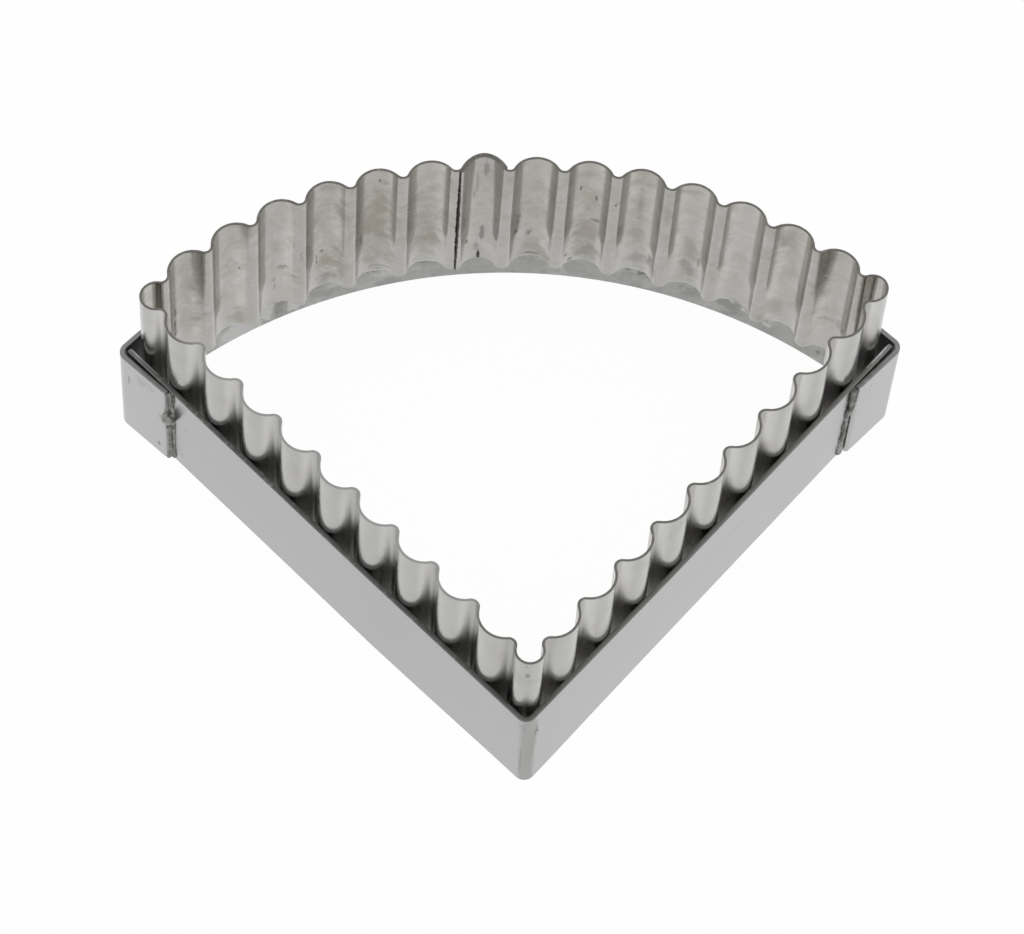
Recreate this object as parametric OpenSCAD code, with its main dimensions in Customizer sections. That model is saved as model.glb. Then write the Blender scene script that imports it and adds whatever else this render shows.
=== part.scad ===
// Fluted wedge pastry cutter: one corrugated cutting band, closed by a lapped seam,
// held by its flute crests inside a plain two-strip frame with welded corner tabs.
// The cutting edge points up. Plan view: apex towards -Y, curved side towards +Y.

/* [Outline] */
// Angle between the two straight sides
sector_angle = 84.2; // [76:0.1:90]
// Length of a straight side, from the apex to the corner, on the line of the ridges
side_l = 83.8; // [80:0.1:88]
// Radius of the curved side, on the line of the ridges
arc_r = 80; // [76:0.5:86]

/* [Flutes] */
// Number of flutes on each straight side
side_flutes = 9; // [8:1:10]
// Number of flutes on the curved side
arc_flutes = 14; // [12:1:15]
// Depth of a flute, from the ridge to the crest
flute_depth = 2.3; // [1.8:0.1:2.8]
// Bend radius of the ridges, to the middle of the sheet
ridge_r = 1.1; // [0.7:0.1:1.4]
// Distance from the apex point to the first ridge on each side
apex_run = 2.95; // [2.6:0.05:3.4]
// Distance from a corner point to the nearest ridge on each side of it
corner_run = 3.5; // [3.1:0.05:4]
// Bend radius of the flute at the apex, to the middle of the sheet
apex_flute_r = 2.2; // [1.9:0.1:2.5]
// Height of that flute's bend axis inside the apex point
apex_flute_in = 0.45; // [0:0.05:0.9]
// Bend radius of the flutes at the two corners, to the middle of the sheet
corner_flute_r = 2.45; // [2.1:0.05:2.8]
// Inset of those flutes' bend axes from both sides
corner_flute_in = 0.75; // [0.4:0.05:1.2]

/* [Cutting band] */
// Thickness of the band's sheet
band_t = 0.4; // [0.3:0.05:0.6]
// Height of the band
band_h = 28.5; // [22:0.5:40]
// Height of the band's lower edge above the bottom of the frame
band_lift = 6.5; // [3:0.5:10]

/* [Lapped seam] */
// Flute of the curved side that holds the lap, counted from the left
lap_flute = 7; // [4:1:10]
// How far the inner layer reaches round the ridge on its left, in degrees
lap_left = 40; // [5:1:55]
// How far the outer layer reaches round the ridge on its right, in degrees
lap_right = 12; // [5:1:55]
// Gap between the two layers
lap_gap = 0.06; // [0.03:0.01:0.12]
// Diameter of a spot weld between the layers
spot_d = 1.6; // [1:0.1:2]
// Number of spot welds, one above the other
spot_n = 2; // [1:1:4]

/* [Frame] */
// Thickness of the frame's strips
frame_t = 0.8; // [0.6:0.1:1.2]
// Height of the frame's strips
frame_h = 20; // [14:0.5:24]
// Clearance between the flute crests and the inside of the frame
crest_gap = 0.1; // [0.1:0.05:0.5]
// Bend radius of the front strip at the apex, to the middle of the strip
apex_bend_r = 2.2; // [1.6:0.1:2.8]
// Bend radius of the rear strip at the corners, to the middle of the strip
corner_bend_r = 1.5; // [1.2:0.1:2]
// Length of the rear strip's tabs, from the corner outside the bend
tab_l = 11; // [8:0.5:16]
// Angle by which each tab stands away from the front strip
tab_splay = 3; // [1:0.5:4]
// Gap between the front strip and a tab at the tab's free end
tab_gap = 0.1; // [0.05:0.05:0.3]
// Clearance between the ends of the front strip and the inside of the rear strip
end_gap = 0.5; // [0.3:0.1:1]

/* [Joints] */
// Radius of the weld bead along each tab's free end
bead_r = 0.9; // [0.6:0.1:1.1]
// Radius of the lump in each weld bead
lump_r = 1.6; // [1.2:0.1:2]
// Height of the lump above the bottom of the frame
lump_z = 12.5; // [6:0.5:14]
// Clearance of the weld bead from the strips' upper and lower edges
bead_end = 0.4; // [0.2:0.1:1]
// Width of a solder fillet, from the inside of the frame inwards
solder_w = 1.5; // [1:0.1:2]
// Height of a solder fillet, below the band's lower edge
solder_h = 1.4; // [1:0.1:2.5]
// Length of a solder fillet, along the frame
solder_l = 4.2; // [3:0.1:6]
// Clearance between the fillets and the inside of the rear strip
solder_gap = 0.04; // [0.03:0.01:0.1]

/* [Hidden] */
$fn = 72;

// Furthest that a facet of a bent strip may lie from its true curve
facet_error = 0.02;

// Half of the sector's angle, and the unit vectors of the right side: along it and outward from it
half = sector_angle / 2;
along = [sin(half), cos(half)];
outward = [cos(half), -sin(half)];

// Centre of the curved side, above the apex point
arc_y = side_l * cos(half) - sqrt(pow(arc_r, 2) - pow(side_l * sin(half), 2));
arc_c = [0, arc_y];

// Angle of a corner point, seen from the centre of the curved side and measured from +Y
corner_angle = asin(side_l * sin(half) / arc_r);

// Flute pitch on a straight side, and the angular pitch on the curved side
side_pitch = (side_l - apex_run - corner_run) / side_flutes;
arc_pitch = 2 * (corner_angle - corner_run / arc_r * 180 / PI) / arc_flutes;

// Bend radius of a flute, from its pitch, its depth and the ridge radius, on a straight side
side_flute_r = (pow(side_pitch / 2, 2) + pow(flute_depth, 2)) / (2 * flute_depth) - ridge_r;

// The same on the curved side, where the ridges are bent about a larger circle than the crests' axes
crest_r = arc_r + flute_depth;
ridge_axis_r = arc_r + ridge_r;
arc_flute_r = (pow(ridge_axis_r, 2) + pow(crest_r, 2)
    - 2 * ridge_axis_r * crest_r * cos(arc_pitch / 2) - pow(ridge_r, 2))
    / (2 * (crest_r + ridge_r - ridge_axis_r * cos(arc_pitch / 2)));

// Inside and outside of the frame, outward from the line of the ridges
frame_in = flute_depth + band_t / 2 + crest_gap;
frame_out = frame_in + frame_t;
rear_mid_r = arc_r + frame_in + frame_t / 2;

// Front strip: axis of the apex bend
apex_bend_y = -(frame_in + frame_t / 2 - apex_bend_r) / sin(half);

// Rear strip: free end of the right tab on its middle line, the tab's direction and outward normal
tab_dir = along * cos(tab_splay) + outward * sin(tab_splay);
tab_out = outward * cos(tab_splay) - along * sin(tab_splay);
tab_end = along * (run_to(rear_mid_r + frame_t / 2, frame_out) - tab_l)
    + outward * (frame_out + tab_gap + frame_t / 2);
tab_normal = dir([0, 0], tab_out);

// Rear strip: axis of the right corner bend, tangent to the tab and to the curved part
bend_from = tab_end - tab_out * corner_bend_r - arc_c;
tab_run = -bend_from * tab_dir
    + sqrt(pow(bend_from * tab_dir, 2) - bend_from * bend_from + pow(rear_mid_r - corner_bend_r, 2));
bend_c = arc_c + bend_from + tab_dir * tab_run;
bend_normal = dir(arc_c, bend_c);

// Middle of the part from front to back, which becomes y = 0
y_front = apex_bend_y - apex_bend_r - frame_t / 2;
y_back = arc_y + rear_mid_r + frame_t / 2;
y_mid = (y_front + y_back) / 2;

// Distance along a side at which a line, set off outward by off, meets a circle about the arc's centre
function run_to(r, off) = arc_y * cos(half) + sqrt(pow(r, 2) - pow(off + arc_y * sin(half), 2));

// Direction from p to q, the turn from angle a up to angle b, and the unit vector of an angle
function dir(p, q) = atan2(q[1] - p[1], q[0] - p[0]);
function turn(a, b) = let (d = (b - a) % 360) d < 0 ? d + 360 : d;
function unit(a) = [cos(a), sin(a)];

// The point or the direction angle that lies opposite, across the part's middle plane
function across(p) = [-p[0], p[1]];
function across_angle(a) = 180 - a;

// A flute is its bend axis and bend radius; the list runs clockwise, seen from above.
// It starts with the inner layer of the lap and ends with the outer one.
function arc_angle(i) = (i - (arc_flutes + 1) / 2) * arc_pitch;
function arc_flute(i) = [arc_c + (crest_r - arc_flute_r) * unit(90 - arc_angle(i)), arc_flute_r];
function side_flute(i) =
    [along * (apex_run + (i - 0.5) * side_pitch) + outward * (flute_depth - side_flute_r), side_flute_r];
function shrunk(flute, by) = [flute[0], flute[1] - by];
function flute_across(flute) = [across(flute[0]), flute[1]];

corner_flute = [
    along * run_to(arc_r - corner_flute_in, -corner_flute_in) - outward * corner_flute_in,
    corner_flute_r
];
lap_step = band_t + lap_gap;

flutes = concat(
    [shrunk(arc_flute(lap_flute), lap_step)],
    [for (i = [lap_flute + 1:arc_flutes]) arc_flute(i)],
    [corner_flute],
    [for (i = [side_flutes:-1:1]) side_flute(i)],
    [[[0, apex_flute_in], apex_flute_r]],
    [for (i = [1:side_flutes]) flute_across(side_flute(i))],
    [flute_across(corner_flute)],
    [for (i = [1:lap_flute]) arc_flute(i)]
);

// Bend axis of the ridge between two flutes: it lies outside them and is tangent to both
function ridge_axis(a, b) = let (
    d = norm(b[0] - a[0]),
    ra = a[1] + ridge_r,
    rb = b[1] + ridge_r,
    e = (b[0] - a[0]) / d,
    x = (d * d + ra * ra - rb * rb) / (2 * d),
    y = sqrt(ra * ra - x * x))
    a[0] + e * x + [-e[1], e[0]] * y;

last = len(flutes) - 1;
ridges = [for (i = [0:last - 1]) ridge_axis(flutes[i], flutes[i + 1])];

// A strip of sheet is a list of bends, clockwise round the part. A bend is its axis, its radius to the
// middle of the sheet, negative where the axis lies outside, and the sheet's outward normal at its two
// ends. A radius of 0 makes a plain end of the strip.
function bend(axis, r, from, to) = [axis, r, from, r < 0 ? from + turn(from, to) : from - turn(to, from)];

// The flute and the ridge after it, and the ends of the two layers on the ridges beside the lap
function flute_bend(i, from, to) = let (axis = flutes[i][0])
    bend(axis, flutes[i][1], dir(axis, from), dir(axis, to));
function ridge_bend(i) = let (axis = ridges[i])
    bend(axis, -ridge_r, dir(flutes[i][0], axis), dir(flutes[i + 1][0], axis));
function lap_start() = let (to = dir(flutes[last][0], ridges[last - 1]))
    bend(ridges[last - 1], -(ridge_r + lap_step), to - lap_left, to);
function lap_end() = let (from = dir(flutes[0][0], ridges[0]))
    bend(ridges[0], -(ridge_r - lap_step), from, from + lap_right);

function ridge_before(i) = ridges[i > 0 ? i - 1 : last - 1];
band_bends = concat(
    [lap_start()],
    [for (i = [0:last - 1]) each [flute_bend(i, ridge_before(i), ridges[i]), ridge_bend(i)]],
    [flute_bend(last, ridge_before(last), ridges[0])],
    [lap_end()]
);

// Points along a strip, set off outward from the middle of the sheet
function facets(r, sweep) = max(1, ceil(abs(sweep) / (2 * acos(1 - facet_error / (abs(r) + frame_t)))));
function strip_points(bends, off) = [
    for (b = bends)
        let (n = facets(b[1], b[3] - b[2]))
            for (i = [0:n])
                b[0] + (b[1] + off) * unit(b[2] + (b[3] - b[2]) * i / n)
];
function single(points) = [
    for (i = [0:len(points) - 1])
        if (i == 0 || norm(points[i] - points[i - 1]) > facet_error / 2)
            points[i]
];
function reversed(list) = [for (i = [len(list) - 1:-1:0]) list[i]];

// A standing strip of sheet, bent along its length
module strip(bends, t, h) {
    outside = single(strip_points(bends, t / 2));
    inside = single(strip_points(bends, -t / 2));
    linear_extrude(h)
        polygon(concat(outside, reversed(inside)));
}

// Places its children on the right side (x outward, y along the side) or on its mirror image
module on_side(side) {
    mirror([side < 0 ? 1 : 0, 0, 0])
        rotate(-half)
            children();
}

// Moves the whole part so that it stands centred on the origin
module placed() {
    translate([0, -y_mid, 0])
        children();
}

// Spot welds that join the two layers of the lap, from the middle of one to the middle of the other
module lap_spots() {
    axis = flutes[last][0];
    for (i = [1:spot_n])
        translate([axis[0], axis[1], band_h * i / (spot_n + 1)])
            rotate([0, 90, 90 - arc_angle(lap_flute)])
                translate([0, 0, arc_flute_r - lap_step])
                    cylinder(h = lap_step, d = spot_d);
}

module fluted_band() {
    color([0.69, 0.68, 0.66])
        placed()
            translate([0, 0, band_lift]) {
                strip(band_bends, band_t, band_h);
                lap_spots();
            }
}

module front_frame() {
    mid = frame_in + frame_t / 2;
    end = along * run_to(rear_mid_r - frame_t / 2 - end_gap, frame_out) + outward * mid;
    color([0.73, 0.73, 0.73])
        placed()
            strip([
                bend(end, 0, -half, -half),
                bend([0, apex_bend_y], apex_bend_r, -half, across_angle(-half)),
                bend(across(end), 0, across_angle(-half), across_angle(-half))
            ], frame_t, frame_h);
}

module rear_frame() {
    color([0.71, 0.71, 0.71])
        placed()
            strip([
                bend(across(tab_end), 0, across_angle(tab_normal), across_angle(tab_normal)),
                bend(across(bend_c), corner_bend_r, across_angle(tab_normal), across_angle(bend_normal)),
                bend(arc_c, rear_mid_r, across_angle(bend_normal), bend_normal),
                bend(bend_c, corner_bend_r, bend_normal, tab_normal),
                bend(tab_end, 0, tab_normal, tab_normal)
            ], frame_t, frame_h);
}

// Quarter-round bead in the angle between the front strip's outer face and a tab's end face
module tab_weld(side) {
    heel = tab_end - tab_out * (frame_t / 2 + tab_gap / cos(tab_splay));
    far = 2 * lump_r;
    mirror([side < 0 ? 1 : 0, 0, 0])
        intersection() {
            translate([heel[0], heel[1], 0]) {
                translate([0, 0, bead_end])
                    cylinder(h = frame_h - 2 * bead_end, r = bead_r);
                translate([0, 0, lump_z])
                    sphere(r = lump_r);
            }
            linear_extrude(frame_h)
                polygon([heel, heel - along * far, heel + (tab_out - along) * far, heel + tab_out * far]);
        }
}

module left_tab_weld() {
    color([0.55, 0.54, 0.52])
        placed()
            tab_weld(-1);
}

module right_tab_weld() {
    color([0.55, 0.54, 0.52])
        placed()
            tab_weld(1);
}

// Section of a solder fillet: x is measured inwards from the frame, y up to the band's lower edge
module fillet_section(inside) {
    translate([inside, band_lift])
        polygon([[0, 0], [-solder_w, 0], [0, -solder_h]]);
}

// One fillet under each flute of the three sides
module foot_solder() {
    arc_in = rear_mid_r - frame_t / 2 - solder_gap;
    sweep = solder_l / arc_in * 180 / PI;
    color([0.78, 0.78, 0.77])
        placed() {
            for (side = [-1, 1], i = [1:side_flutes])
                on_side(side)
                    translate([0, apex_run + (i - 0.5) * side_pitch + solder_l / 2, 0])
                        rotate([90, 0, 0])
                            linear_extrude(solder_l)
                                fillet_section(frame_in);
            for (i = [1:arc_flutes])
                translate([arc_c[0], arc_c[1], 0])
                    rotate(90 - arc_angle(i) - sweep / 2)
                        rotate_extrude(angle = sweep)
                            fillet_section(arc_in);
        }
}

fluted_band();
front_frame();
rear_frame();
left_tab_weld();
right_tab_weld();
foot_solder();
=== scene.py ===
"""Fluted wedge pastry cutter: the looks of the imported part.

The band and the two frame strips are bent again as standing walls of sheet, with finer arcs than the
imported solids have, then thickened, edge-softened and dressed. Welds and solder are modelled by hand.
Lengths in the classes are in millimetres, in the plan of the part's source: apex point at the origin,
curved side towards +Y. Meshes are in metres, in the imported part's frame.
"""
import logging
import math
import random
from collections.abc import Callable
from dataclasses import dataclass
from enum import Enum, IntEnum
from functools import cached_property, reduce

import bpy
from mathutils import Matrix, Vector


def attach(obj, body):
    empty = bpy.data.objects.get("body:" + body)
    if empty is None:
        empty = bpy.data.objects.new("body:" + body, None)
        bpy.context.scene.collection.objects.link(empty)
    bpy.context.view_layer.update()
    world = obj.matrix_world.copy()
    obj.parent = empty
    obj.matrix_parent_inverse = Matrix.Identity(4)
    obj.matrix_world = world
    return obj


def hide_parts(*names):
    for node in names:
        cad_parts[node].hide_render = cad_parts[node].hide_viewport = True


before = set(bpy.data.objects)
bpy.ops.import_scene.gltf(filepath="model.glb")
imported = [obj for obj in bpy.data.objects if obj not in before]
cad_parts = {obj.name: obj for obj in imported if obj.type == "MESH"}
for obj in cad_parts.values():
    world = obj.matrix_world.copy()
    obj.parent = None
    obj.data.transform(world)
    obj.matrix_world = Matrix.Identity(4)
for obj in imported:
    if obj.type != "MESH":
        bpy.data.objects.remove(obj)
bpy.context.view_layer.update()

MM = 0.001
log = logging.getLogger("cutter")

Piece = bpy.types.Object
Socket = bpy.types.NodeSocket
Sockets = bpy.types.NodeOutputs
Number = float | Socket
Colour = tuple[float, float, float]
Flute = tuple[Vector, float]


class Face(IntEnum):
    """Material slots of a sheet."""

    OUTER = 0
    INNER = 1
    RIM = 2
    WORN = 3
    END = 4
    INNER_RIGHT = 5


def unit(angle: float) -> Vector:
    """Unit vector of a plan angle in degrees."""
    return Vector((math.cos(math.radians(angle)), math.sin(math.radians(angle))))


def heading(start: Vector, end: Vector) -> float:
    """Plan angle of the direction from start to end, in degrees."""
    return math.degrees(math.atan2(end.y - start.y, end.x - start.x))


def across(point: Vector) -> Vector:
    """The point that lies opposite, across the part's middle plane."""
    return Vector((-point.x, point.y))


@dataclass(frozen=True)
class Bend:
    """One bend of a standing strip of sheet, seen in plan.

    The radius runs to the middle of the sheet and is negative where the axis lies outside. A radius of
    0 makes a plain point of the strip. Start and end are the outward normal's angles, in degrees.
    """

    axis: Vector
    radius: float
    start: float
    end: float

    @classmethod
    def turned(cls, axis: Vector, radius: float, start: float, end: float) -> "Bend":
        """A bend that turns clockwise, or counter-clockwise where its axis lies outside.

        Args:
            axis: Bend axis.
            radius: Signed bend radius.
            start: Outward normal at its start, in degrees.
            end: Outward normal at its end, in degrees, in any full turn.

        Returns:
            The bend, with its end within a full turn of its start.
        """
        sweep = (end - start) % 360 if radius < 0 else -((start - end) % 360)
        return cls(axis, radius, start, start + sweep)

    @classmethod
    def point(cls, place: Vector, normal: float) -> "Bend":
        """A plain point of the strip."""
        return cls(place, 0.0, normal, normal)

    def at(self, angle: float, off: float = 0.0) -> Vector:
        """Point of the bend whose outward normal has that angle, set off outward."""
        return self.axis + unit(angle) * (self.radius + off)


@dataclass(frozen=True)
class CutterPlan:
    """Plan of the whole cutter, with the named sizes of the part's source."""

    sector_angle: float = 84.2
    side_l: float = 83.8
    arc_r: float = 80.0
    side_flutes: int = 9
    arc_flutes: int = 14
    flute_depth: float = 2.3
    ridge_r: float = 1.1
    apex_run: float = 2.95
    corner_run: float = 3.5
    apex_flute_r: float = 2.2
    apex_flute_in: float = 0.45
    corner_flute_r: float = 2.45
    corner_flute_in: float = 0.75
    band_t: float = 0.4
    band_h: float = 28.5
    band_lift: float = 6.5
    lap_flute: int = 7
    lap_left: float = 40.0
    lap_right: float = 24.0
    lap_gap: float = 0.02
    frame_t: float = 0.8
    frame_h: float = 20.0
    crest_gap: float = 0.1
    apex_bend_r: float = 2.2
    apex_tight_r: float = 1.35
    apex_draw: float = 30.0
    corner_bend_r: float = 1.5
    tab_l: float = 11.0
    tab_splay: float = 3.0
    tab_gap: float = 0.1
    end_gap: float = 0.5
    hand_work: float = 0.05
    seed: int = 11

    @cached_property
    def half(self) -> float:
        """Half of the sector's angle."""
        return self.sector_angle / 2

    @cached_property
    def along(self) -> Vector:
        """Direction of the right side, from the apex."""
        return unit(90 - self.half)

    @cached_property
    def outward(self) -> Vector:
        """Outward normal of the right side."""
        return unit(-self.half)

    @cached_property
    def half_span(self) -> float:
        """Half of the width between the two rear corners."""
        return self.side_l * math.sin(math.radians(self.half))

    @cached_property
    def arc_c(self) -> Vector:
        """Centre of the curved side."""
        corner = self.side_l * math.cos(math.radians(self.half))
        return Vector((0.0, corner - math.sqrt(self.arc_r**2 - self.half_span**2)))

    @cached_property
    def arc_pitch(self) -> float:
        """Angular pitch of the flutes on the curved side, in degrees."""
        corner = math.degrees(math.asin(self.half_span / self.arc_r))
        return 2 * (corner - math.degrees(self.corner_run / self.arc_r)) / self.arc_flutes

    @cached_property
    def side_pitch(self) -> float:
        """Pitch of the flutes on a straight side."""
        return (self.side_l - self.apex_run - self.corner_run) / self.side_flutes

    @cached_property
    def side_flute_r(self) -> float:
        """Bend radius of a flute on a straight side."""
        return ((self.side_pitch / 2) ** 2 + self.flute_depth**2) / (2 * self.flute_depth) - self.ridge_r

    @cached_property
    def arc_flute_r(self) -> float:
        """Bend radius of a flute on the curved side.

        Returns:
            The radius at which a flute is tangent to both of its ridges.
        """
        crest, ridge = self.arc_r + self.flute_depth, self.arc_r + self.ridge_r
        cosine = math.cos(math.radians(self.arc_pitch / 2))
        chord = ridge**2 + crest**2 - 2 * ridge * crest * cosine - self.ridge_r**2
        return chord / (2 * (crest + self.ridge_r - ridge * cosine))

    @cached_property
    def frame_in(self) -> float:
        """Inside of the frame, outward from the line of the ridges."""
        return self.flute_depth + self.band_t / 2 + self.crest_gap

    @cached_property
    def frame_out(self) -> float:
        """Outside of the frame."""
        return self.frame_in + self.frame_t

    @cached_property
    def rear_mid_r(self) -> float:
        """Radius of the rear strip's middle line."""
        return self.arc_r + self.frame_in + self.frame_t / 2

    @cached_property
    def apex_bend_c(self) -> Vector:
        """Axis of the front strip's bend."""
        inset = self.frame_in + self.frame_t / 2 - self.apex_bend_r
        return Vector((0.0, -inset / math.sin(math.radians(self.half))))

    def run_to(self, radius: float, off: float) -> float:
        """Distance along a side at which a line, set off outward, meets a circle about the arc's centre.

        Args:
            radius: Radius of the circle.
            off: How far the line lies outward of the line of the ridges.

        Returns:
            The distance from the apex point, along the side.
        """
        half = math.radians(self.half)
        return self.arc_c.y * math.cos(half) + math.sqrt(radius**2 - (off + self.arc_c.y * math.sin(half)) ** 2)

    @cached_property
    def tab_out(self) -> Vector:
        """Outward normal of the right tab."""
        return unit(-self.half - self.tab_splay)

    @cached_property
    def tab_end(self) -> Vector:
        """Free end of the right tab, on its middle line."""
        run = self.run_to(self.rear_mid_r + self.frame_t / 2, self.frame_out) - self.tab_l
        return self.along * run + self.outward * (self.frame_out + self.tab_gap + self.frame_t / 2)

    @cached_property
    def tab_heel(self) -> Vector:
        """Inner corner of the right tab's free end, on the front strip's outer face."""
        drop = self.frame_t / 2 + self.tab_gap / math.cos(math.radians(self.tab_splay))
        return self.tab_end - self.tab_out * drop

    @cached_property
    def y_mid(self) -> float:
        """Middle of the part from front to back, which is y = 0 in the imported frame."""
        front = self.apex_bend_c.y - self.apex_bend_r - self.frame_t / 2
        return (front + self.arc_c.y + self.rear_mid_r + self.frame_t / 2) / 2

    def placed(self, point: Vector, height: float = 0.0) -> Vector:
        """A plan point at that height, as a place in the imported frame, in metres."""
        return Vector((point.x, point.y - self.y_mid, height)) * MM

    def arc_angle(self, index: float) -> float:
        """Angle of a flute of the curved side, from +Y towards the right."""
        return (index - (self.arc_flutes + 1) / 2) * self.arc_pitch

    def arc_flute(self, index: float) -> Flute:
        """Axis and radius of a flute of the curved side, counted from the left."""
        reach = self.arc_r + self.flute_depth - self.arc_flute_r
        return self.arc_c + unit(90 - self.arc_angle(index)) * reach, self.arc_flute_r

    def side_flute(self, index: float) -> Flute:
        """Axis and radius of a flute of the right side, counted from the apex."""
        run = self.apex_run + (index - 0.5) * self.side_pitch
        return self.along * run + self.outward * (self.flute_depth - self.side_flute_r), self.side_flute_r

    @cached_property
    def corner_flute(self) -> Flute:
        """Axis and radius of the flute in the right corner."""
        inset = self.corner_flute_in
        return self.along * self.run_to(self.arc_r - inset, -inset) - self.outward * inset, self.corner_flute_r

    @cached_property
    def flutes(self) -> list[Flute]:
        """The flutes, clockwise from above, from the lap's inner layer to its outer one.

        Returns:
            Axis and radius of each flute. The lapped one comes twice.
        """
        first = [self.arc_flute(i) for i in range(self.lap_flute + 1, self.arc_flutes + 1)]
        right = [self.corner_flute] + [self.side_flute(i) for i in range(self.side_flutes, 0, -1)]
        left = [(across(axis), radius) for axis, radius in reversed(right)]
        rest = [self.arc_flute(i) for i in range(1, self.lap_flute + 1)]
        apex = [(Vector((0.0, self.apex_flute_in)), self.apex_flute_r)]
        rng = random.Random(self.seed)
        found = [self._pressed(flute, rng) for flute in first + right + apex + left + rest]
        axis, radius = found[-1]
        return [(axis.copy(), radius - self.band_t - self.lap_gap)] + found

    def _pressed(self, flute: Flute, rng: random.Random) -> Flute:
        """The flute with the small error of a press tool that is set by hand."""
        shift = Vector((rng.uniform(-1, 1), rng.uniform(-1, 1))) * self.hand_work
        return flute[0] + shift, flute[1] - self.hand_work * rng.uniform(0.7, 1.2)

    def _ridge(self, a: Flute, b: Flute) -> Vector:
        """Axis of the ridge between two flutes: it lies outside them and is tangent to both.

        Args:
            a: A flute.
            b: The flute after it.

        Returns:
            The ridge's axis.
        """
        gap = b[0] - a[0]
        reach_a, reach_b = a[1] + self.ridge_r, b[1] + self.ridge_r
        run = (gap.length_squared + reach_a**2 - reach_b**2) / (2 * gap.length)
        way = gap.normalized()
        return a[0] + way * run + Vector((-way.y, way.x)) * math.sqrt(reach_a**2 - run**2)

    @cached_property
    def band_bends(self) -> list[Bend]:
        """The fluted band: every flute and ridge, with both ends of the lapped seam.

        Returns:
            The bends, from the lap's inner end to its outer one.
        """
        flutes = self.flutes
        ridges = [self._ridge(a, b) for a, b in zip(flutes, flutes[1:])]
        last, step = len(flutes) - 1, self.band_t + self.lap_gap
        lap_in = heading(flutes[last][0], ridges[last - 1])
        bends = [Bend.turned(ridges[last - 1], -(self.ridge_r + step), lap_in - self.lap_left, lap_in)]
        for i, ridge in enumerate(ridges):
            axis, radius = flutes[i]
            turn = heading(axis, ridge)
            bends.append(Bend.turned(axis, radius, heading(axis, ridges[i - 1]), turn))
            bends.append(Bend.turned(ridge, -self.ridge_r, turn, heading(flutes[i + 1][0], ridge)))
        axis, radius = flutes[last]
        bends.append(Bend.turned(axis, radius, heading(axis, ridges[last - 1]), heading(axis, ridges[0])))
        lap_out = heading(flutes[0][0], ridges[0])
        bends.append(Bend.turned(ridges[0], -(self.ridge_r - step), lap_out, lap_out + self.lap_right))
        return bends

    @cached_property
    def front_bends(self) -> list[Bend]:
        """The front strip: two legs, which draw together near the apex, and the tight bend between them.

        Returns:
            The bends, from right to left.
        """
        mid = self.frame_in + self.frame_t / 2
        run = self.run_to(self.rear_mid_r - self.frame_t / 2 - self.end_gap, self.frame_out)
        end = self.along * run + self.outward * mid
        drawn = self.along * self.apex_draw + self.outward * mid
        axis = Vector((0.0, self.apex_bend_c.y - self.apex_bend_r + self.apex_tight_r))
        reach = (drawn - axis).length
        right = heading(axis, drawn) - math.degrees(math.acos(self.apex_tight_r / reach))
        left, straight = 180 - right, -self.half
        return [
            Bend.point(end, straight),
            Bend.point(drawn, straight),
            Bend.turned(axis, self.apex_tight_r, right, left),
            Bend.point(across(drawn), 180 - straight),
            Bend.point(across(end), 180 - straight),
        ]

    @cached_property
    def rear_bends(self) -> list[Bend]:
        """The rear strip: left tab, left bend, curved part, right bend and right tab.

        Returns:
            The bends, from left to right.
        """
        direction = unit(90 - self.half - self.tab_splay)
        start = self.tab_end - self.tab_out * self.corner_bend_r - self.arc_c
        dot = start.dot(direction)
        reach = self.rear_mid_r - self.corner_bend_r
        corner = self.arc_c + start + direction * (math.sqrt(dot**2 - start.length_squared + reach**2) - dot)
        tab, turn = -self.half - self.tab_splay, heading(self.arc_c, corner)
        return [
            Bend.point(across(self.tab_end), 180 - tab),
            Bend.turned(across(corner), self.corner_bend_r, 180 - tab, 180 - turn),
            Bend.turned(self.arc_c, self.rear_mid_r, 180 - turn, turn),
            Bend.turned(corner, self.corner_bend_r, turn, tab),
            Bend.point(self.tab_end, tab),
        ]


def deselect() -> None:
    """Deselects every object."""
    bpy.ops.object.select_all(action="DESELECT")


def pick(piece: Piece) -> None:
    """Selects that object alone and makes it the active one.

    Args:
        piece: The object.
    """
    deselect()
    piece.select_set(True)
    bpy.context.view_layer.objects.active = piece


def edit(piece: Piece, mode: str = "VERT") -> None:
    """Opens the piece in edit mode with nothing selected.

    Args:
        piece: The object.
        mode: What will be selected: VERT, EDGE or FACE.
    """
    pick(piece)
    bpy.ops.object.mode_set(mode="EDIT")
    bpy.ops.mesh.select_mode(type=mode)
    bpy.ops.mesh.select_all(action="DESELECT")


def select_whole() -> None:
    """Selects all of the mesh that is being edited."""
    bpy.ops.mesh.select_all(action="SELECT")


def leave() -> None:
    """Goes back to object mode."""
    bpy.ops.object.mode_set(mode="OBJECT")


def modify(piece: Piece, kind: str, **settings: object) -> None:
    """Adds a modifier with those settings and applies it.

    Args:
        piece: The object.
        kind: Blender's name of the modifier's type.
        settings: The modifier's settings.
    """
    pick(piece)
    modifier = piece.modifiers.new(kind.title(), kind)
    for key, value in settings.items():
        setattr(modifier, key, value)
    bpy.ops.object.modifier_apply(modifier=modifier.name)


def smooth(piece: Piece, angle: float = 35.0) -> None:
    """Shades the piece smooth, with edges above that angle kept sharp."""
    pick(piece)
    bpy.ops.object.shade_smooth_by_angle(angle=math.radians(angle))


def settle() -> Piece:
    """Applies the active object's place, turn and scale to its mesh, and returns it."""
    bpy.ops.object.transform_apply(location=True, rotation=True, scale=True)
    return bpy.context.object


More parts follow.
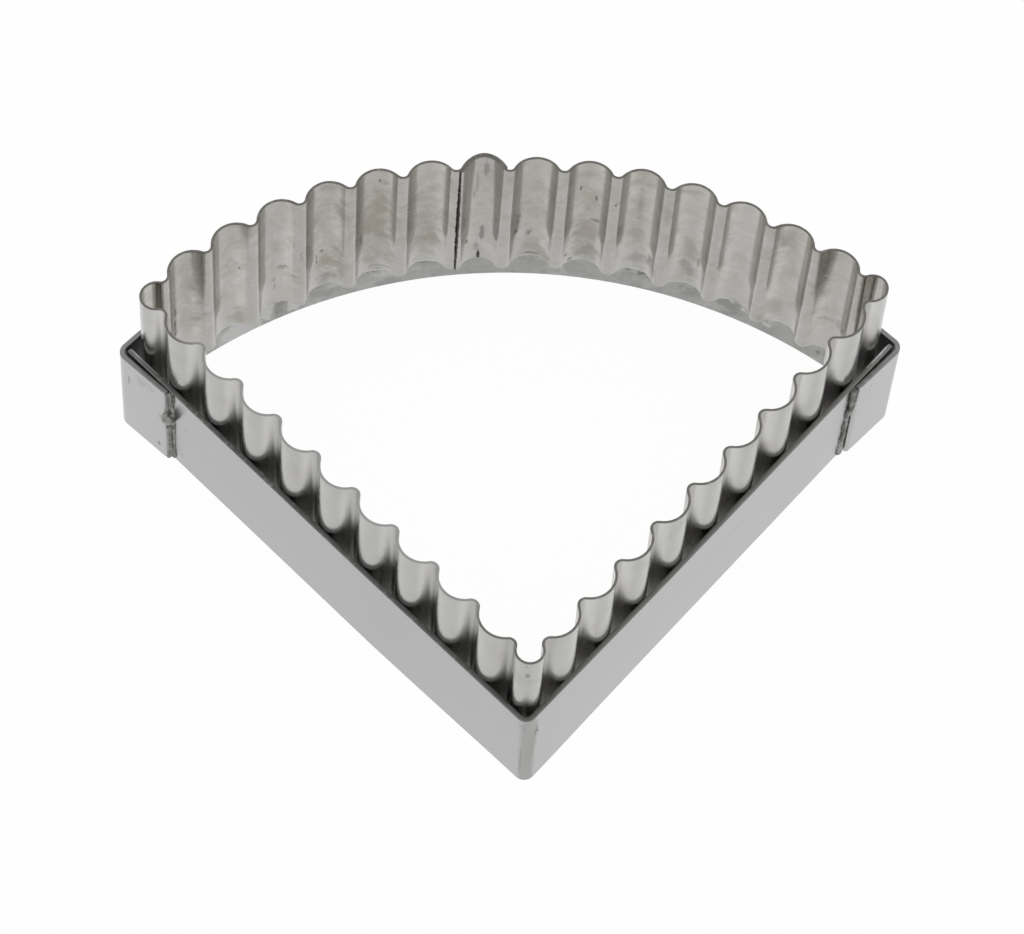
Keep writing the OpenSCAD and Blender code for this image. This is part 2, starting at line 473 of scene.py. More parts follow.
def nudge(
    sheet: Piece, name: str, axis: str, reach: float, share: Callable[[Vector], float], least: float = 0.0
) -> None:
    """Moves the points of a sheet along an axis, each by its own share of the reach.

    Args:
        sheet: The sheet.
        name: Name of the group of weights.
        axis: X or Y.
        reach: The largest move, in millimetres.
        share: Gives a point's share, from its place in millimetres.
        least: Share up to which a point stays where it is.
    """
    group = sheet.vertex_groups.new(name=name)
    for vertex in sheet.data.vertices:
        weight = share(vertex.co / MM)
        if weight > least:
            group.add([vertex.index], weight, "REPLACE")
    modify(sheet, "DISPLACE", direction=axis, space="LOCAL", vertex_group=name, strength=reach * MM, mid_level=0.0)


def sole_material(piece: Piece, name: str) -> bpy.types.Material:
    """Gives the piece a new material as its only one, and returns it.

    Args:
        piece: The object.
        name: The material's name.

    Returns:
        The material.
    """
    piece.data.materials.clear()
    piece.data.materials.append(bpy.data.materials.new(name))
    return piece.data.materials[0]


@dataclass
class SheetWall:
    """A standing strip of sheet that is bent along its length, as spins and runs of one upright edge.

    The edges are softened by the radius in edge, and the upright edges at its ends by end_rounds, outer
    ones first. Step is the largest turn between two upright lines, in degrees. Runs and turns below least
    are left out, near_end is how close to its corner an end's edge is looked for, and a cut edge is an
    upright one where its normal rises less than upright.
    """

    name: str
    plan: CutterPlan
    bends: list[Bend]
    thickness: float
    base: float
    height: float
    rows: tuple[float, ...]
    step: float = 9.0
    edge: float = 0.06
    edge_material: int = -1
    end_rounds: tuple[float, float] = (0.0, 0.0)
    least: float = 0.01
    near_end: float = 0.05
    upright: float = 0.3

    def build(self) -> Piece:
        """Bends the sheet, which has no thickness yet.

        Returns:
            The sheet's middle surface, with its faces turned outwards.
        """
        piece = self._upright_edge()
        self._follow_bends()
        self._cut_rows()
        self._face_outwards(piece)
        return piece

    def finish(self, piece: Piece) -> Piece:
        """Gives the wall its thickness, its soft edges and its material slots.

        Args:
            piece: The bent sheet.

        Returns:
            The finished wall.
        """
        for face in list(Face)[:Face.INNER_RIGHT]:
            piece.data.materials.append(bpy.data.materials.new(f"{self.name}_{face.name.lower()}"))
        modify(
            piece, "SOLIDIFY", thickness=self.thickness * MM, offset=0.0,
            material_offset=int(Face.INNER), material_offset_rim=int(Face.RIM),
        )
        for side, radius in zip((1, -1), self.end_rounds):
            if radius:
                self._round_ends(piece, side * self.thickness / 2, radius)
        modify(
            piece, "BEVEL", width=self.edge * MM, segments=2, limit_method="ANGLE",
            angle_limit=math.radians(60), material=self.edge_material,
        )
        for face in piece.data.polygons:
            if face.material_index == Face.RIM and abs(face.normal.z) < self.upright:
                face.material_index = Face.END
        smooth(piece)
        return piece

    def _round_ends(self, piece: Piece, off: float, radius: float) -> None:
        """Rounds an upright edge at both ends of the sheet.

        Args:
            piece: The thickened sheet.
            off: Place of the edge, outward from the sheet's middle.
            radius: Radius of the round.
        """
        first, last = self.bends[0], self.bends[-1]
        corners = (first.at(first.start, off), last.at(last.end, off))
        ends = [self.plan.placed(corner).xy for corner in corners]
        edit(piece, "EDGE")
        leave()
        for edge in piece.data.edges:
            points = [piece.data.vertices[i].co.xy for i in edge.vertices]
            edge.select = all(min((point - end).length for end in ends) < self.near_end * MM for point in points)
        bpy.ops.object.mode_set(mode="EDIT")
        bpy.ops.mesh.bevel(offset=radius * MM, segments=4, affect="EDGES", material=int(Face.OUTER))
        leave()

    def _upright_edge(self) -> Piece:
        """The strip's first upright edge, which is what is left of a plane.

        Returns:
            The object, in edit mode, with its edge selected.
        """
        first = self.bends[0]
        place = self.plan.placed(first.at(first.start), self.base + self.height / 2)
        size = self.height * MM
        deselect()
        bpy.ops.mesh.primitive_plane_add(
            size=size, location=place - Vector((0, size / 2, 0)), rotation=(0, math.pi / 2, 0)
        )
        piece = settle()
        piece.name = piece.data.name = self.name
        edit(piece)
        leave()
        for vertex in piece.data.vertices:
            vertex.select = vertex.co.y < place.y - size / 2
        bpy.ops.object.mode_set(mode="EDIT")
        bpy.ops.mesh.delete(type="VERT")
        select_whole()
        return piece

    def _follow_bends(self) -> None:
        """Spins the open edge round each bend, and extrudes it along the straight run before it."""
        here = self.bends[0].at(self.bends[0].start)
        for bend in self.bends:
            there = bend.at(bend.start)
            if (there - here).length > self.least:
                run = (there - here) * MM
                bpy.ops.mesh.extrude_region_move(TRANSFORM_OT_translate={"value": (run.x, run.y, 0)})
            sweep = bend.end - bend.start
            if bend.radius and abs(sweep) > self.least:
                bpy.ops.mesh.spin(
                    steps=max(1, math.ceil(abs(sweep) / self.step)), angle=-math.radians(sweep),
                    center=self.plan.placed(bend.axis), axis=(0, 0, 1),
                )
            here = bend.at(bend.end)

    def _cut_rows(self) -> None:
        """Cuts level rows into the wall, close to its rims and where it is shaped later."""
        for row in self.rows:
            select_whole()
            bpy.ops.mesh.bisect(plane_co=(0, 0, row * MM), plane_no=(0, 0, 1))
        select_whole()
        bpy.ops.mesh.remove_doubles(threshold=1e-6)
        bpy.ops.mesh.normals_make_consistent(inside=False)
        leave()

    def _face_outwards(self, piece: Piece) -> None:
        """Turns all faces round if the first of them looks inwards.

        Args:
            piece: The bent sheet.
        """
        first = self.bends[0]
        start = self.plan.placed(first.at(first.start))
        nearest = min(piece.data.polygons, key=lambda face: (face.center.xy - start.xy).length)
        if nearest.normal.xy.dot(unit(first.start)) < 0:
            edit(piece)
            select_whole()
            bpy.ops.mesh.flip_normals()
            leave()


class Tree:
    """A node tree that is built by short calls."""

    def __init__(self, tree: bpy.types.NodeTree) -> None:
        """Starts on that tree."""
        self.tree = tree

    @classmethod
    def cleared(cls, owner: bpy.types.Material | bpy.types.World) -> "Tree":
        """The emptied tree of a material or a world.

        Args:
            owner: The material or world.

        Returns:
            The tree.
        """
        owner.use_nodes = True
        owner.node_tree.nodes.clear()
        return cls(owner.node_tree)

    def add(self, kind: str, inputs: dict[str | int, object] | None = None, **settings: object) -> bpy.types.Node:
        """Adds a node.

        Args:
            kind: The node's type, without its ShaderNode prefix.
            inputs: Values or sockets for its inputs, by name or number.
            settings: The node's own settings.

        Returns:
            The node.
        """
        node = self.tree.nodes.new(f"ShaderNode{kind}")
        for key, value in settings.items():
            setattr(node, key, value)
        for key, value in (inputs or {}).items():
            if isinstance(value, Socket):
                self.tree.links.new(value, node.inputs[key])
            else:
                node.inputs[key].default_value = value
        return node

    def spot(self) -> Socket:
        """The place on the piece, in millimetres."""
        place = self.add("TexCoord").outputs["Object"]
        return self.add("VectorMath", {0: place, 3: 1 / MM}, operation="SCALE").outputs[0]

    def maths(self, operation: str, a: Number, b: Number = 0.0) -> Socket:
        """Result of one sum on two numbers."""
        return self.add("Math", {0: a, 1: b}, operation=operation).outputs[0]

    def times(self, a: Number, b: Number) -> Socket:
        """Product of two numbers."""
        return self.maths("MULTIPLY", a, b)

    def span(self, value: Socket, low: Number, high: Number, start: Number = 0.0, end: Number = 1.0,
             smooth_ends: bool = False) -> Socket:
        """The value mapped from low..high to start..end, clamped.

        Args:
            value: The value.
            low: Its low end.
            high: Its high end.
            start: What the low end gives.
            end: What the high end gives.
            smooth_ends: Whether both ends level off softly.

        Returns:
            The mapped value.
        """
        inputs = {"Value": value, "From Min": low, "From Max": high, "To Min": start, "To Max": end}
        kind = "SMOOTHSTEP" if smooth_ends else "LINEAR"
        return self.add("MapRange", inputs, interpolation_type=kind).outputs[0]

    def blend(self, factor: Number, a: Colour | Socket, b: Colour | Socket) -> Socket:
        """Two colours mixed by a factor."""
        a, b = (colour if isinstance(colour, Socket) else (*colour, 1) for colour in (a, b))
        return self.add("Mix", {0: factor, 6: a, 7: b}, data_type="RGBA").outputs[2]

    def stretched(self, vector: Socket, scale: tuple[float, float, float]) -> Socket:
        """The coordinates scaled along each axis."""
        return self.add("Mapping", {"Vector": vector, "Scale": scale}).outputs[0]

    def noise(self, vector: Socket, scale: Number, detail: float = 2.0, roughness: float = 0.5,
              distortion: float = 0.0) -> Socket:
        """Value of a noise texture.

        Args:
            vector: Coordinates.
            scale: Features for each unit.
            detail: Number of finer layers.
            roughness: Share of each finer layer.
            distortion: How far the noise is swirled.

        Returns:
            The value, from 0 to 1.
        """
        inputs = {"Vector": vector, "Scale": scale, "Detail": detail, "Roughness": roughness,
                  "Distortion": distortion}
        return self.add("TexNoise", inputs).outputs[0]

    def metal(self, colour: Socket, roughness: Socket, height: Socket, strength: float, rise: float) -> None:
        """Ends the tree of a material with bare metal.

        Args:
            colour: Its colour.
            roughness: Its roughness.
            height: Height of its bumps, as a share of their rise.
            strength: Strength of its bumps.
            rise: Rise of its bumps, in millimetres.
        """
        bump = self.add("Bump", {"Height": height, "Strength": strength, "Distance": rise * MM}).outputs[0]
        inputs = {"Base Color": colour, "Metallic": 1.0, "Roughness": roughness, "Normal": bump}
        self.add("OutputMaterial", {"Surface": self.add("BsdfPrincipled", inputs).outputs[0]})


class Effect:
    """A shared effect: a node group that is built once and placed in each material with its own values."""

    NAME = "effect"
    INPUTS: tuple[tuple[str, str, object], ...] = ()
    OUTPUTS: tuple[str, ...] = ("Mask",)

    @classmethod
    def group(cls) -> bpy.types.NodeTree:
        """The node group, made at its first use.

        Returns:
            The group.
        """
        found = bpy.data.node_groups.get(cls.NAME)
        if found:
            return found
        group = bpy.data.node_groups.new(cls.NAME, "ShaderNodeTree")
        for name, kind, value in cls.INPUTS:
            socket = group.interface.new_socket(name, in_out="INPUT", socket_type=f"NodeSocket{kind}")
            if value is not None:
                socket.default_value = value
        for name in cls.OUTPUTS:
            group.interface.new_socket(name, in_out="OUTPUT", socket_type="NodeSocketFloat")
        tree = Tree(group)
        start = group.nodes.new("NodeGroupInput")
        end = group.nodes.new("NodeGroupOutput")
        for name, value in cls.wire(tree, start.outputs).items():
            group.links.new(value, end.inputs[name])
        return group

    @classmethod
    def wire(cls, tree: Tree, given: Sockets) -> dict[str, Socket]:
        """Builds the group's inside and returns its outputs by name."""
        raise NotImplementedError

    @classmethod
    def place(cls, tree: Tree, inputs: dict[str, object]) -> Sockets:
        """Puts the effect in a material's tree.

        Args:
            tree: The material's tree.
            inputs: Values or sockets for the group's inputs.

        Returns:
            The group node's outputs.
        """
        return tree.add("Group", inputs, node_tree=cls.group()).outputs


class RolledGrain(Effect):
    """Fine lines that the rolls leave along the sheet, level on a standing wall."""

    NAME = "rolled grain"
    INPUTS = (("Vector", "Vector", None), ("Fineness", "Float", 6.0))
    OUTPUTS = ("Lines",)

    @classmethod
    def wire(cls, tree: Tree, given: Sockets) -> dict[str, Socket]:
        """Long noise along the sheet, short across it, on two scales.

        Args:
            tree: The group's tree.
            given: Its inputs.

        Returns:
            Its outputs, by name.
        """
        coarse = tree.noise(tree.stretched(given["Vector"], (0.06, 0.06, 1.0)), given["Fineness"], 3.0)
        fine = tree.noise(tree.stretched(given["Vector"], (0.15, 0.15, 4.0)), given["Fineness"], 2.0)
        return {"Lines": tree.times(tree.maths("ADD", coarse, fine), 0.5)}


class StainCloud(Effect):
    """Cloudy stains with soft, ragged edges."""

    NAME = "stain cloud"
    INPUTS = (
        ("Vector", "Vector", None), ("Size", "Float", 0.15), ("Start", "Float", 0.45), ("Full", "Float", 0.65),
    )

    @classmethod
    def wire(cls, tree: Tree, given: Sockets) -> dict[str, Socket]:
        """A noise of several scales, cut between two levels."""
        cloud = tree.noise(given["Vector"], given["Size"], 5.0, 0.62, 0.6)
        return {"Mask": tree.span(cloud, given["Start"], given["Full"], smooth_ends=True)}


class RunStreaks(Effect):
    """Upright streaks, as wiped or run down a wall."""

    NAME = "run streaks"
    INPUTS = (("Vector", "Vector", None), ("Width", "Float", 1.0), ("Start", "Float", 0.5), ("Full", "Float", 0.7))

    @classmethod
    def wire(cls, tree: Tree, given: Sockets) -> dict[str, Socket]:
        """Noise that is drawn out upwards."""
        streak = tree.noise(tree.stretched(given["Vector"], (1.0, 1.0, 0.09)), given["Width"], 3.0, 0.55, 0.3)
        return {"Mask": tree.span(streak, given["Start"], given["Full"], smooth_ends=True)}


class PlaceMark(Effect):
    """One mark at a place: an ellipsoid with a ragged edge."""

    NAME = "place mark"
    INPUTS = (
        ("Vector", "Vector", None), ("Place", "Vector", None), ("Turn", "Vector", None),
        ("Size", "Vector", (1.0, 1.0, 1.0)), ("Break", "Float", 0.0), ("Ragged", "Float", 0.4),
        ("Soft", "Float", 0.5),
    )

    @classmethod
    def wire(cls, tree: Tree, given: Sockets) -> dict[str, Socket]:
        """Distance from the mark's middle in its own sizes, broken up by a noise from outside.

        Args:
            tree: The group's tree.
            given: Its inputs.

        Returns:
            Its outputs, by name.
        """
        inputs = {"Vector": given["Vector"], "Location": given["Place"], "Rotation": given["Turn"],
                  "Scale": given["Size"]}
        local = tree.add("Mapping", inputs, vector_type="TEXTURE").outputs[0]
        reach = tree.add("VectorMath", {0: local}, operation="LENGTH").outputs["Value"]
        distance = tree.maths("ADD", reach, tree.times(given["Break"], given["Ragged"]))
        low = tree.maths("SUBTRACT", 1.0, given["Soft"])
        return {"Mask": tree.span(distance, low, 1.0, 1.0, 0.0, smooth_ends=True)}


class FluteDepth(Effect):
    """How far a point lies outward of the line of the ridges, in millimetres, on all three sides."""

    NAME = "flute depth"
    INPUTS = (
        ("Vector", "Vector", None), ("Arc centre", "Vector", None), ("Arc radius", "Float", 80.0),
        ("Side cosine", "Float", 0.74), ("Side sine", "Float", 0.67), ("Apex", "Float", -42.0),
    )
    OUTPUTS = ("Depth",)

    @classmethod
    def wire(cls, tree: Tree, given: Sockets) -> dict[str, Socket]:
        """The larger of the reach beyond the curved side and beyond the straight ones.

        Args:
            tree: The group's tree.
            given: Its inputs.

        Returns:
            Its outputs, by name.
        """
        level = tree.add("VectorMath", {0: given["Vector"], 1: (1, 1, 0)}, operation="MULTIPLY").outputs[0]
        reach = tree.add("VectorMath", {0: level, 1: given["Arc centre"]}, operation="DISTANCE").outputs["Value"]
        curved = tree.maths("SUBTRACT", reach, given["Arc radius"])
        x, y, _ = tree.add("SeparateXYZ", {0: given["Vector"]}).outputs
        run = tree.times(tree.maths("ABSOLUTE", x), given["Side cosine"])
        rise = tree.times(tree.maths("SUBTRACT", y, given["Apex"]), given["Side sine"])
        return {"Depth": tree.maths("MAXIMUM", curved, tree.maths("SUBTRACT", run, rise))}


class Tone(Enum):
    """Colours of the marks on the metal."""

    PIT = (0.04, 0.038, 0.034)
    DARK = (0.12, 0.117, 0.108)
    GREY = (0.21, 0.208, 0.2)
    BROWN = (0.215, 0.19, 0.155)
    TAN = (0.275, 0.25, 0.212)
    BEIGE = (0.33, 0.31, 0.272)
    DULL = (0.345, 0.343, 0.337)
    LIGHT = (0.53, 0.53, 0.525)


PIT, DARK, GREY, BROWN, TAN, BEIGE, DULL, LIGHT = Tone


@dataclass(frozen=True)
class Mark:
    """A mark on a sheet: its place and half sizes in millimetres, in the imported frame.

    Turn is about Z and lean in the wall, both in degrees. Ragged breaks up the edge, and soft is the share
    of the size over which it fades. A mark smaller than fine_size has its edge broken by the finer noise.
    """

    place: Vector
    size: tuple[float, float, float]
    tone: Tone
    strength: float = 1.0
    turn: float = 0.0
    lean: float = 0.0
    ragged: float = 0.8
    soft: float = 0.5
    fine_size: float = 1.2

    def mask(self, tree: Tree, spot: Socket, breaks: tuple[Socket, Socket]) -> Socket:
        """Where the mark lies, times its strength.

        Args:
            tree: The material's tree.
            spot: Coordinates in millimetres.
            breaks: Fine and coarse noise that break up an edge.

        Returns:
            The mask.
        """
        fine, coarse = breaks
        inputs = {
            "Vector": spot, "Place": self.place, "Size": self.size,
            "Break": fine if min(self.size) < self.fine_size else coarse, "Ragged": self.ragged,
            "Turn": (0, math.radians(self.lean), math.radians(self.turn)), "Soft": self.soft,
        }
        return tree.times(PlaceMark.place(tree, inputs)["Mask"], self.strength)


@dataclass(frozen=True)
class Smudge:
    """A mark by its place in the photograph and its half sizes as seen there, in millimetres on the metal.

    Its edge is drawn outward by the noise that breaks it up, so the mark is made smaller than it is seen,
    by the share in core. Most marks are stains and dirt; some are painted shade and painted highlights.
    """

    name: str
    pixel_x: float
    pixel_y: float
    wide: float
    high: float
    tone: Tone
    strength: float = 1.0
    lean: float = 0.0
    ragged: float = 0.8
    soft: float = 0.5
    core: float = 0.68

    def on(self, wall: "CurvedWall | FlatWall", view: "View") -> Mark:
        """The mark on a wall.

        Args:
            wall: The wall.
            view: The photograph's point of view.

        Returns:
            The mark.
        """
        place = view.meet(self.pixel_x, self.pixel_y, wall)
        size = (self.wide * self.core, wall.reach, self.high * self.core)
        return Mark(place, size, self.tone, self.strength, wall.turn(place), self.lean, self.ragged, self.soft)


def edge_noise(tree: Tree, spot: Socket) -> tuple[Socket, Socket]:
    """A fine and a coarse noise about zero, which break up the edges of marks.

    Args:
        tree: The material's tree.
        spot: Coordinates in millimetres.

    Returns:
        The fine noise and the coarse one.
    """
    fine = tree.span(tree.noise(spot, 1.3, 3.0, 0.65), 0.0, 1.0, -1.0, 1.0)
    coarse = tree.span(tree.noise(spot, 0.35, 4.0, 0.65), 0.0, 1.0, -1.0, 1.0)
    return fine, coarse


def lay_marks(
    tree: Tree, spot: Socket, colour: Socket, marks: tuple[Mark, ...], breaks: tuple[Socket, Socket]
) -> tuple[Socket, list[Socket]]:
    """Lays marks over a colour, the first at the bottom.

    Args:
        tree: The material's tree.
        spot: Coordinates in millimetres.
        colour: The colour so far.
        marks: The marks.
        breaks: Fine and coarse noise that break up an edge.

    Returns:
        The colour with its marks, and where each of them lies.
    """
    masks = []
    for mark in marks:
        masks.append(mark.mask(tree, spot, breaks))
        colour = tree.blend(masks[-1], colour, mark.tone.value)
    return colour, masks


@dataclass(frozen=True)
class FootCoat:
    """Solder that was wiped over the foot of the band, up to an uneven line at top, below which it fades in."""

    colour: Colour = (0.45, 0.442, 0.425)
    top: float = 13.6
    fade: float = 1.5
    ragged: float = 6.0
    strength: float = 0.6
    roughness: float = 0.36


@dataclass(frozen=True)
class SheetFinish:
    """Face of a metal sheet: satin, with rolled grain, stains, streaks, patches and marks.

    Sizes of the patterns are in features for each millimetre. Start and full are the levels of a cloud at
    which a stain or patch begins and is at its strongest. Tone, mottle and flank are shares by which the
    colour varies; the flank share is painted light, a gain in tone on the flanks. The gain on the flanks
    begins and ends at the depths in flank_zone, above flank_low and over flank_rise, and beside the apex
    over apex_zone. Ridge_zone gives the depths at which the ridges' roughness fades.
    """

    colour: Colour
    stain: Colour
    stain_strength: float = 0.3
    stain_size: float = 0.15
    stain_start: float = 0.45
    stain_full: float = 0.7
    streak: Colour = (0.3, 0.3, 0.29)
    streak_strength: float = 0.0
    streak_width: float = 1.0
    patch: Colour = (0.48, 0.48, 0.48)
    patch_strength: float = 0.0
    patch_size: float = 0.22
    patch_start: float = 0.53
    patch_soft: float = 0.02
    mottle: float = 0.0
    roughness: float = 0.2
    roughness_spread: float = 0.1
    fineness: float = 5.0
    grain_tone: float = 0.06
    grain_depth: float = 0.004
    wave_depth: float = 0.02
    wave_size: float = 0.12
    flank: float = 0.0
    flank_zone: tuple[float, float, float, float] = (0.2, 0.9, 1.4, 2.1)
    flank_low: float = -9.0
    flank_rise: float = 9.0
    apex_zone: tuple[float, float] = (4.0, 7.0)
    ridge_roughness: float = 0.0
    ridge_zone: tuple[float, float] = (0.7, 1.7)
    coat: FootCoat | None = None
    marks: tuple[Mark, ...] = ()
    mark_roughness: float = 0.45

    def dress(self, material: bpy.types.Material, plan: CutterPlan | None = None) -> None:
        """Builds the finish in that material.

        Args:
            material: The material.
            plan: The cutter's plan, for a finish that follows the flutes.
        """
        tree = Tree.cleared(material)
        spot = tree.spot()
        grain = RolledGrain.place(tree, {"Vector": spot, "Fineness": self.fineness})["Lines"]
        stain = StainCloud.place(
            tree, {"Vector": spot, "Size": self.stain_size, "Start": self.stain_start, "Full": self.stain_full}
        )["Mask"]
        colour = tree.blend(tree.times(stain, self.stain_strength), self.colour, self.stain)
        rough = tree.span(
            tree.maths("ADD", grain, tree.times(stain, 0.4)), 0.35, 1.0,
            self.roughness - self.roughness_spread / 2, self.roughness + self.roughness_spread,
        )
        if self.streak_strength:
            runs = RunStreaks.place(tree, {"Vector": spot, "Width": self.streak_width})["Mask"]
            colour = tree.blend(tree.times(runs, self.streak_strength), colour, self.streak)
        if self.patch_strength:
            inputs = {"Vector": spot, "Size": self.patch_size, "Start": self.patch_start,
                      "Full": self.patch_start + self.patch_soft}
            patches = StainCloud.place(tree, inputs)["Mask"]
            colour = tree.blend(tree.times(patches, self.patch_strength), colour, self.patch)
        tone = tree.span(grain, 0.3, 0.7, 1 - self.grain_tone, 1 + self.grain_tone)
        if self.mottle:
            cloud = tree.noise(spot, 0.7, 5.0, 0.68, 0.4)
            tone = tree.times(tone, tree.span(cloud, 0.3, 0.7, 1 - self.mottle, 1 + self.mottle))
        # Painted light: the flank gain raises the colour's tone on the flanks.
        if plan and self.flank:
            tone = tree.times(tone, self._painted_flank_light(tree, spot, self._depth(tree, spot, plan)))
        colour = tree.add("VectorMath", {0: colour, 3: tone}, operation="SCALE").outputs[0]
        if plan and self.ridge_roughness:
            near = tree.span(self._depth(tree, spot, plan), *self.ridge_zone, 1.0, 0.0, smooth_ends=True)
            rough = tree.span(near, 0.0, 1.0, rough, self.ridge_roughness)
        breaks = edge_noise(tree, spot)
        if self.coat:
            mask = self._coated(tree, spot, breaks[1])
            colour = tree.blend(mask, colour, self.coat.colour)
            rough = tree.span(mask, 0.0, 1.0, rough, self.coat.roughness)
        colour, masks = lay_marks(tree, spot, colour, self.marks, breaks)
        if masks:
            soiled = reduce(lambda a, b: tree.maths("MAXIMUM", a, b), masks, 0.0)
            rough = tree.span(soiled, 0.0, 1.0, rough, self.mark_roughness)
        wave = tree.noise(tree.stretched(spot, (1.0, 1.0, 0.45)), self.wave_size, 1.0)
        height = tree.maths("ADD", tree.times(wave, self.wave_depth), tree.times(grain, self.grain_depth))
        tree.metal(colour, rough, height, 1.0, 1.0)

    def _depth(self, tree: Tree, spot: Socket, plan: CutterPlan) -> Socket:
        """How far a point lies outward of the line of the ridges.

        Args:
            tree: The material's tree.
            spot: Coordinates in millimetres.
            plan: The cutter's plan.

        Returns:
            The depth, in millimetres.
        """
        half = math.radians(plan.half)
        inputs = {
            "Vector": spot, "Arc centre": plan.placed(plan.arc_c) / MM, "Arc radius": plan.arc_r,
            "Side cosine": math.cos(half), "Side sine": math.sin(half), "Apex": -plan.y_mid,
        }
        return FluteDepth.place(tree, inputs)["Depth"]

    def _painted_flank_light(self, tree: Tree, spot: Socket, depth: Socket) -> Socket:
        """Painted light on the flanks: a gain in tone where their reflections show lighter, except at the apex.

        Args:
            tree: The material's tree.
            spot: Coordinates in millimetres.
            depth: Depth outward of the line of the ridges.

        Returns:
            The gain, from 1 up.
        """
        rise = tree.span(depth, *self.flank_zone[:2], smooth_ends=True)
        fall = tree.span(depth, *self.flank_zone[2:], 1.0, 0.0)
        x, _, z = tree.add("SeparateXYZ", {0: spot}).outputs
        beside_apex = tree.span(tree.maths("ABSOLUTE", x), *self.apex_zone)
        above = tree.span(z, self.flank_low, self.flank_low + self.flank_rise)
        here = tree.times(beside_apex, above)
        share = tree.times(tree.times(rise, fall), here)
        return tree.span(share, 0.0, 1.0, 1.0, 1.0 + self.flank)

    def _coated(self, tree: Tree, spot: Socket, coarse: Socket) -> Socket:
        """Where the foot's solder coat lies.

        Args:
            tree: The material's tree.
            spot: Coordinates in millimetres.
            coarse: The coarse noise.

        Returns:
            The mask.
        """
        height = tree.add("SeparateXYZ", {0: spot}).outputs["Z"]
        uneven = tree.maths("ADD", height, tree.times(coarse, self.coat.ragged))
        low, high = self.coat.top - self.coat.fade, self.coat.top
        below = tree.span(uneven, low, high, self.coat.strength, 0.0, smooth_ends=True)
        wiped = tree.noise(tree.stretched(spot, (1.0, 1.0, 0.5)), 0.5, 4.0, 0.6, 1.5)
        return tree.times(below, tree.span(wiped, 0.35, 0.6, 0.35, 1.0))


@dataclass(frozen=True)
class EdgeFinish:
    """Cut edge of a sheet: dull, darker than its faces, with bright scraped specks.

    The roughness varies by spread to either side.
    """

    colour: Colour
    scraped: Colour
    scraped_share: float = 0.35
    roughness: float = 0.4
    spread: float = 0.08
    marks: tuple[Mark, ...] = ()

    def dress(self, material: bpy.types.Material) -> None:
        """Builds the finish in that material.

        Args:
            material: The material.
        """
        tree = Tree.cleared(material)
        spot = tree.spot()
        chip = StainCloud.place(tree, {"Vector": spot, "Size": 0.8, "Start": 0.5, "Full": 0.62})["Mask"]
        slow = tree.noise(spot, 0.12, 2.0)
        share = tree.span(slow, 0.35, 0.65, 0.2 * self.scraped_share, 1.6 * self.scraped_share)
        colour = tree.blend(tree.times(chip, share), self.colour, self.scraped)
        if self.marks:
            colour, _ = lay_marks(tree, spot, colour, self.marks, edge_noise(tree, spot))
        rough = tree.span(slow, 0.3, 0.7, self.roughness - self.spread, self.roughness + self.spread)
        tree.metal(colour, rough, tree.noise(spot, 3.0, 3.0), 0.4, 0.03)


@dataclass(frozen=True)
class CurvedWall:
    """An upright wall about an axis, which a line of sight from inside meets.

    Lengths are in millimetres, and reach is how far from the wall a mark on it still shows.
    """

    centre: Vector
    radius: float
    reach: float = 3.0

    def turn(self, place: Vector) -> float:
        """Plan angle of the wall at that place, from +X."""
        return math.degrees(math.atan2(place.y - self.centre.y, place.x - self.centre.x)) - 90

    def met(self, eye: Vector, way: Vector) -> Vector:
        """Where a line of sight meets the wall on its far side.

        Args:
            eye: The camera's place.
            way: The line's direction.

        Returns:
            The place.
        """
        flat, start = way.xy, (eye - self.centre).xy
        a, b, c = flat.length_squared, flat.dot(start), start.length_squared - self.radius**2
        return eye + way * ((math.sqrt(b * b - a * c) - b) / a)


@dataclass(frozen=True)
class FlatWall:
    """An upright flat wall through a point, with its outward normal's plan angle, and its marks' reach."""

    point: Vector
    normal: float
    reach: float = 0.6

    def turn(self, place: Vector) -> float:
        """Plan angle of the wall, from +X."""
        return self.normal + 90

    def met(self, eye: Vector, way: Vector) -> Vector:
        """Where a line of sight meets the wall."""
        normal = unit(self.normal)
        return eye + way * (normal.dot((self.point - eye).xy) / normal.dot(way.xy))


@dataclass(frozen=True)
class View:
    """The photograph's point of view, in millimetres and degrees."""

    target: tuple[float, float, float] = (0.566, 8.968, 0.0)
    distance: float = 725.3
    azimuth: float = -6.284
    elevation: float = 60.22
    roll: float = 5.008
    lens: float = 160.24
    sensor: float = 36.0
    width: int = 1024
    height: int = 934

    @cached_property
    def axes(self) -> tuple[Vector, Vector, Vector]:
        """The camera's right, up and backward directions.

        Returns:
            The three unit vectors.
        """
        az, el, roll = (math.radians(x) for x in (self.azimuth, self.elevation, self.roll))
        back = Vector((math.sin(az) * math.cos(el), -math.cos(az) * math.cos(el), math.sin(el)))
        right = (-back).cross(Vector((0, 0, 1))).normalized()
        up = right.cross(-back)
        return right * math.cos(roll) + up * math.sin(roll), up * math.cos(roll) - right * math.sin(roll), back

    @cached_property
    def eye(self) -> Vector:
        """The camera's place."""
        return Vector(self.target) + self.axes[2] * self.distance

    def meet(self, x: float, y: float, wall: CurvedWall | FlatWall) -> Vector:
        """Where the line of sight through a pixel meets a wall.

        Args:
            x: Pixel from the left.
            y: Pixel from the top.
            wall: The wall.

        Returns:
            The place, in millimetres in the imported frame.
        """
        right, up, back = self.axes
        scale = self.sensor / self.lens / self.width
        way = right * ((x - self.width / 2) * scale) + up * ((self.height / 2 - y) * scale) - back
        return wall.met(self.eye, way)


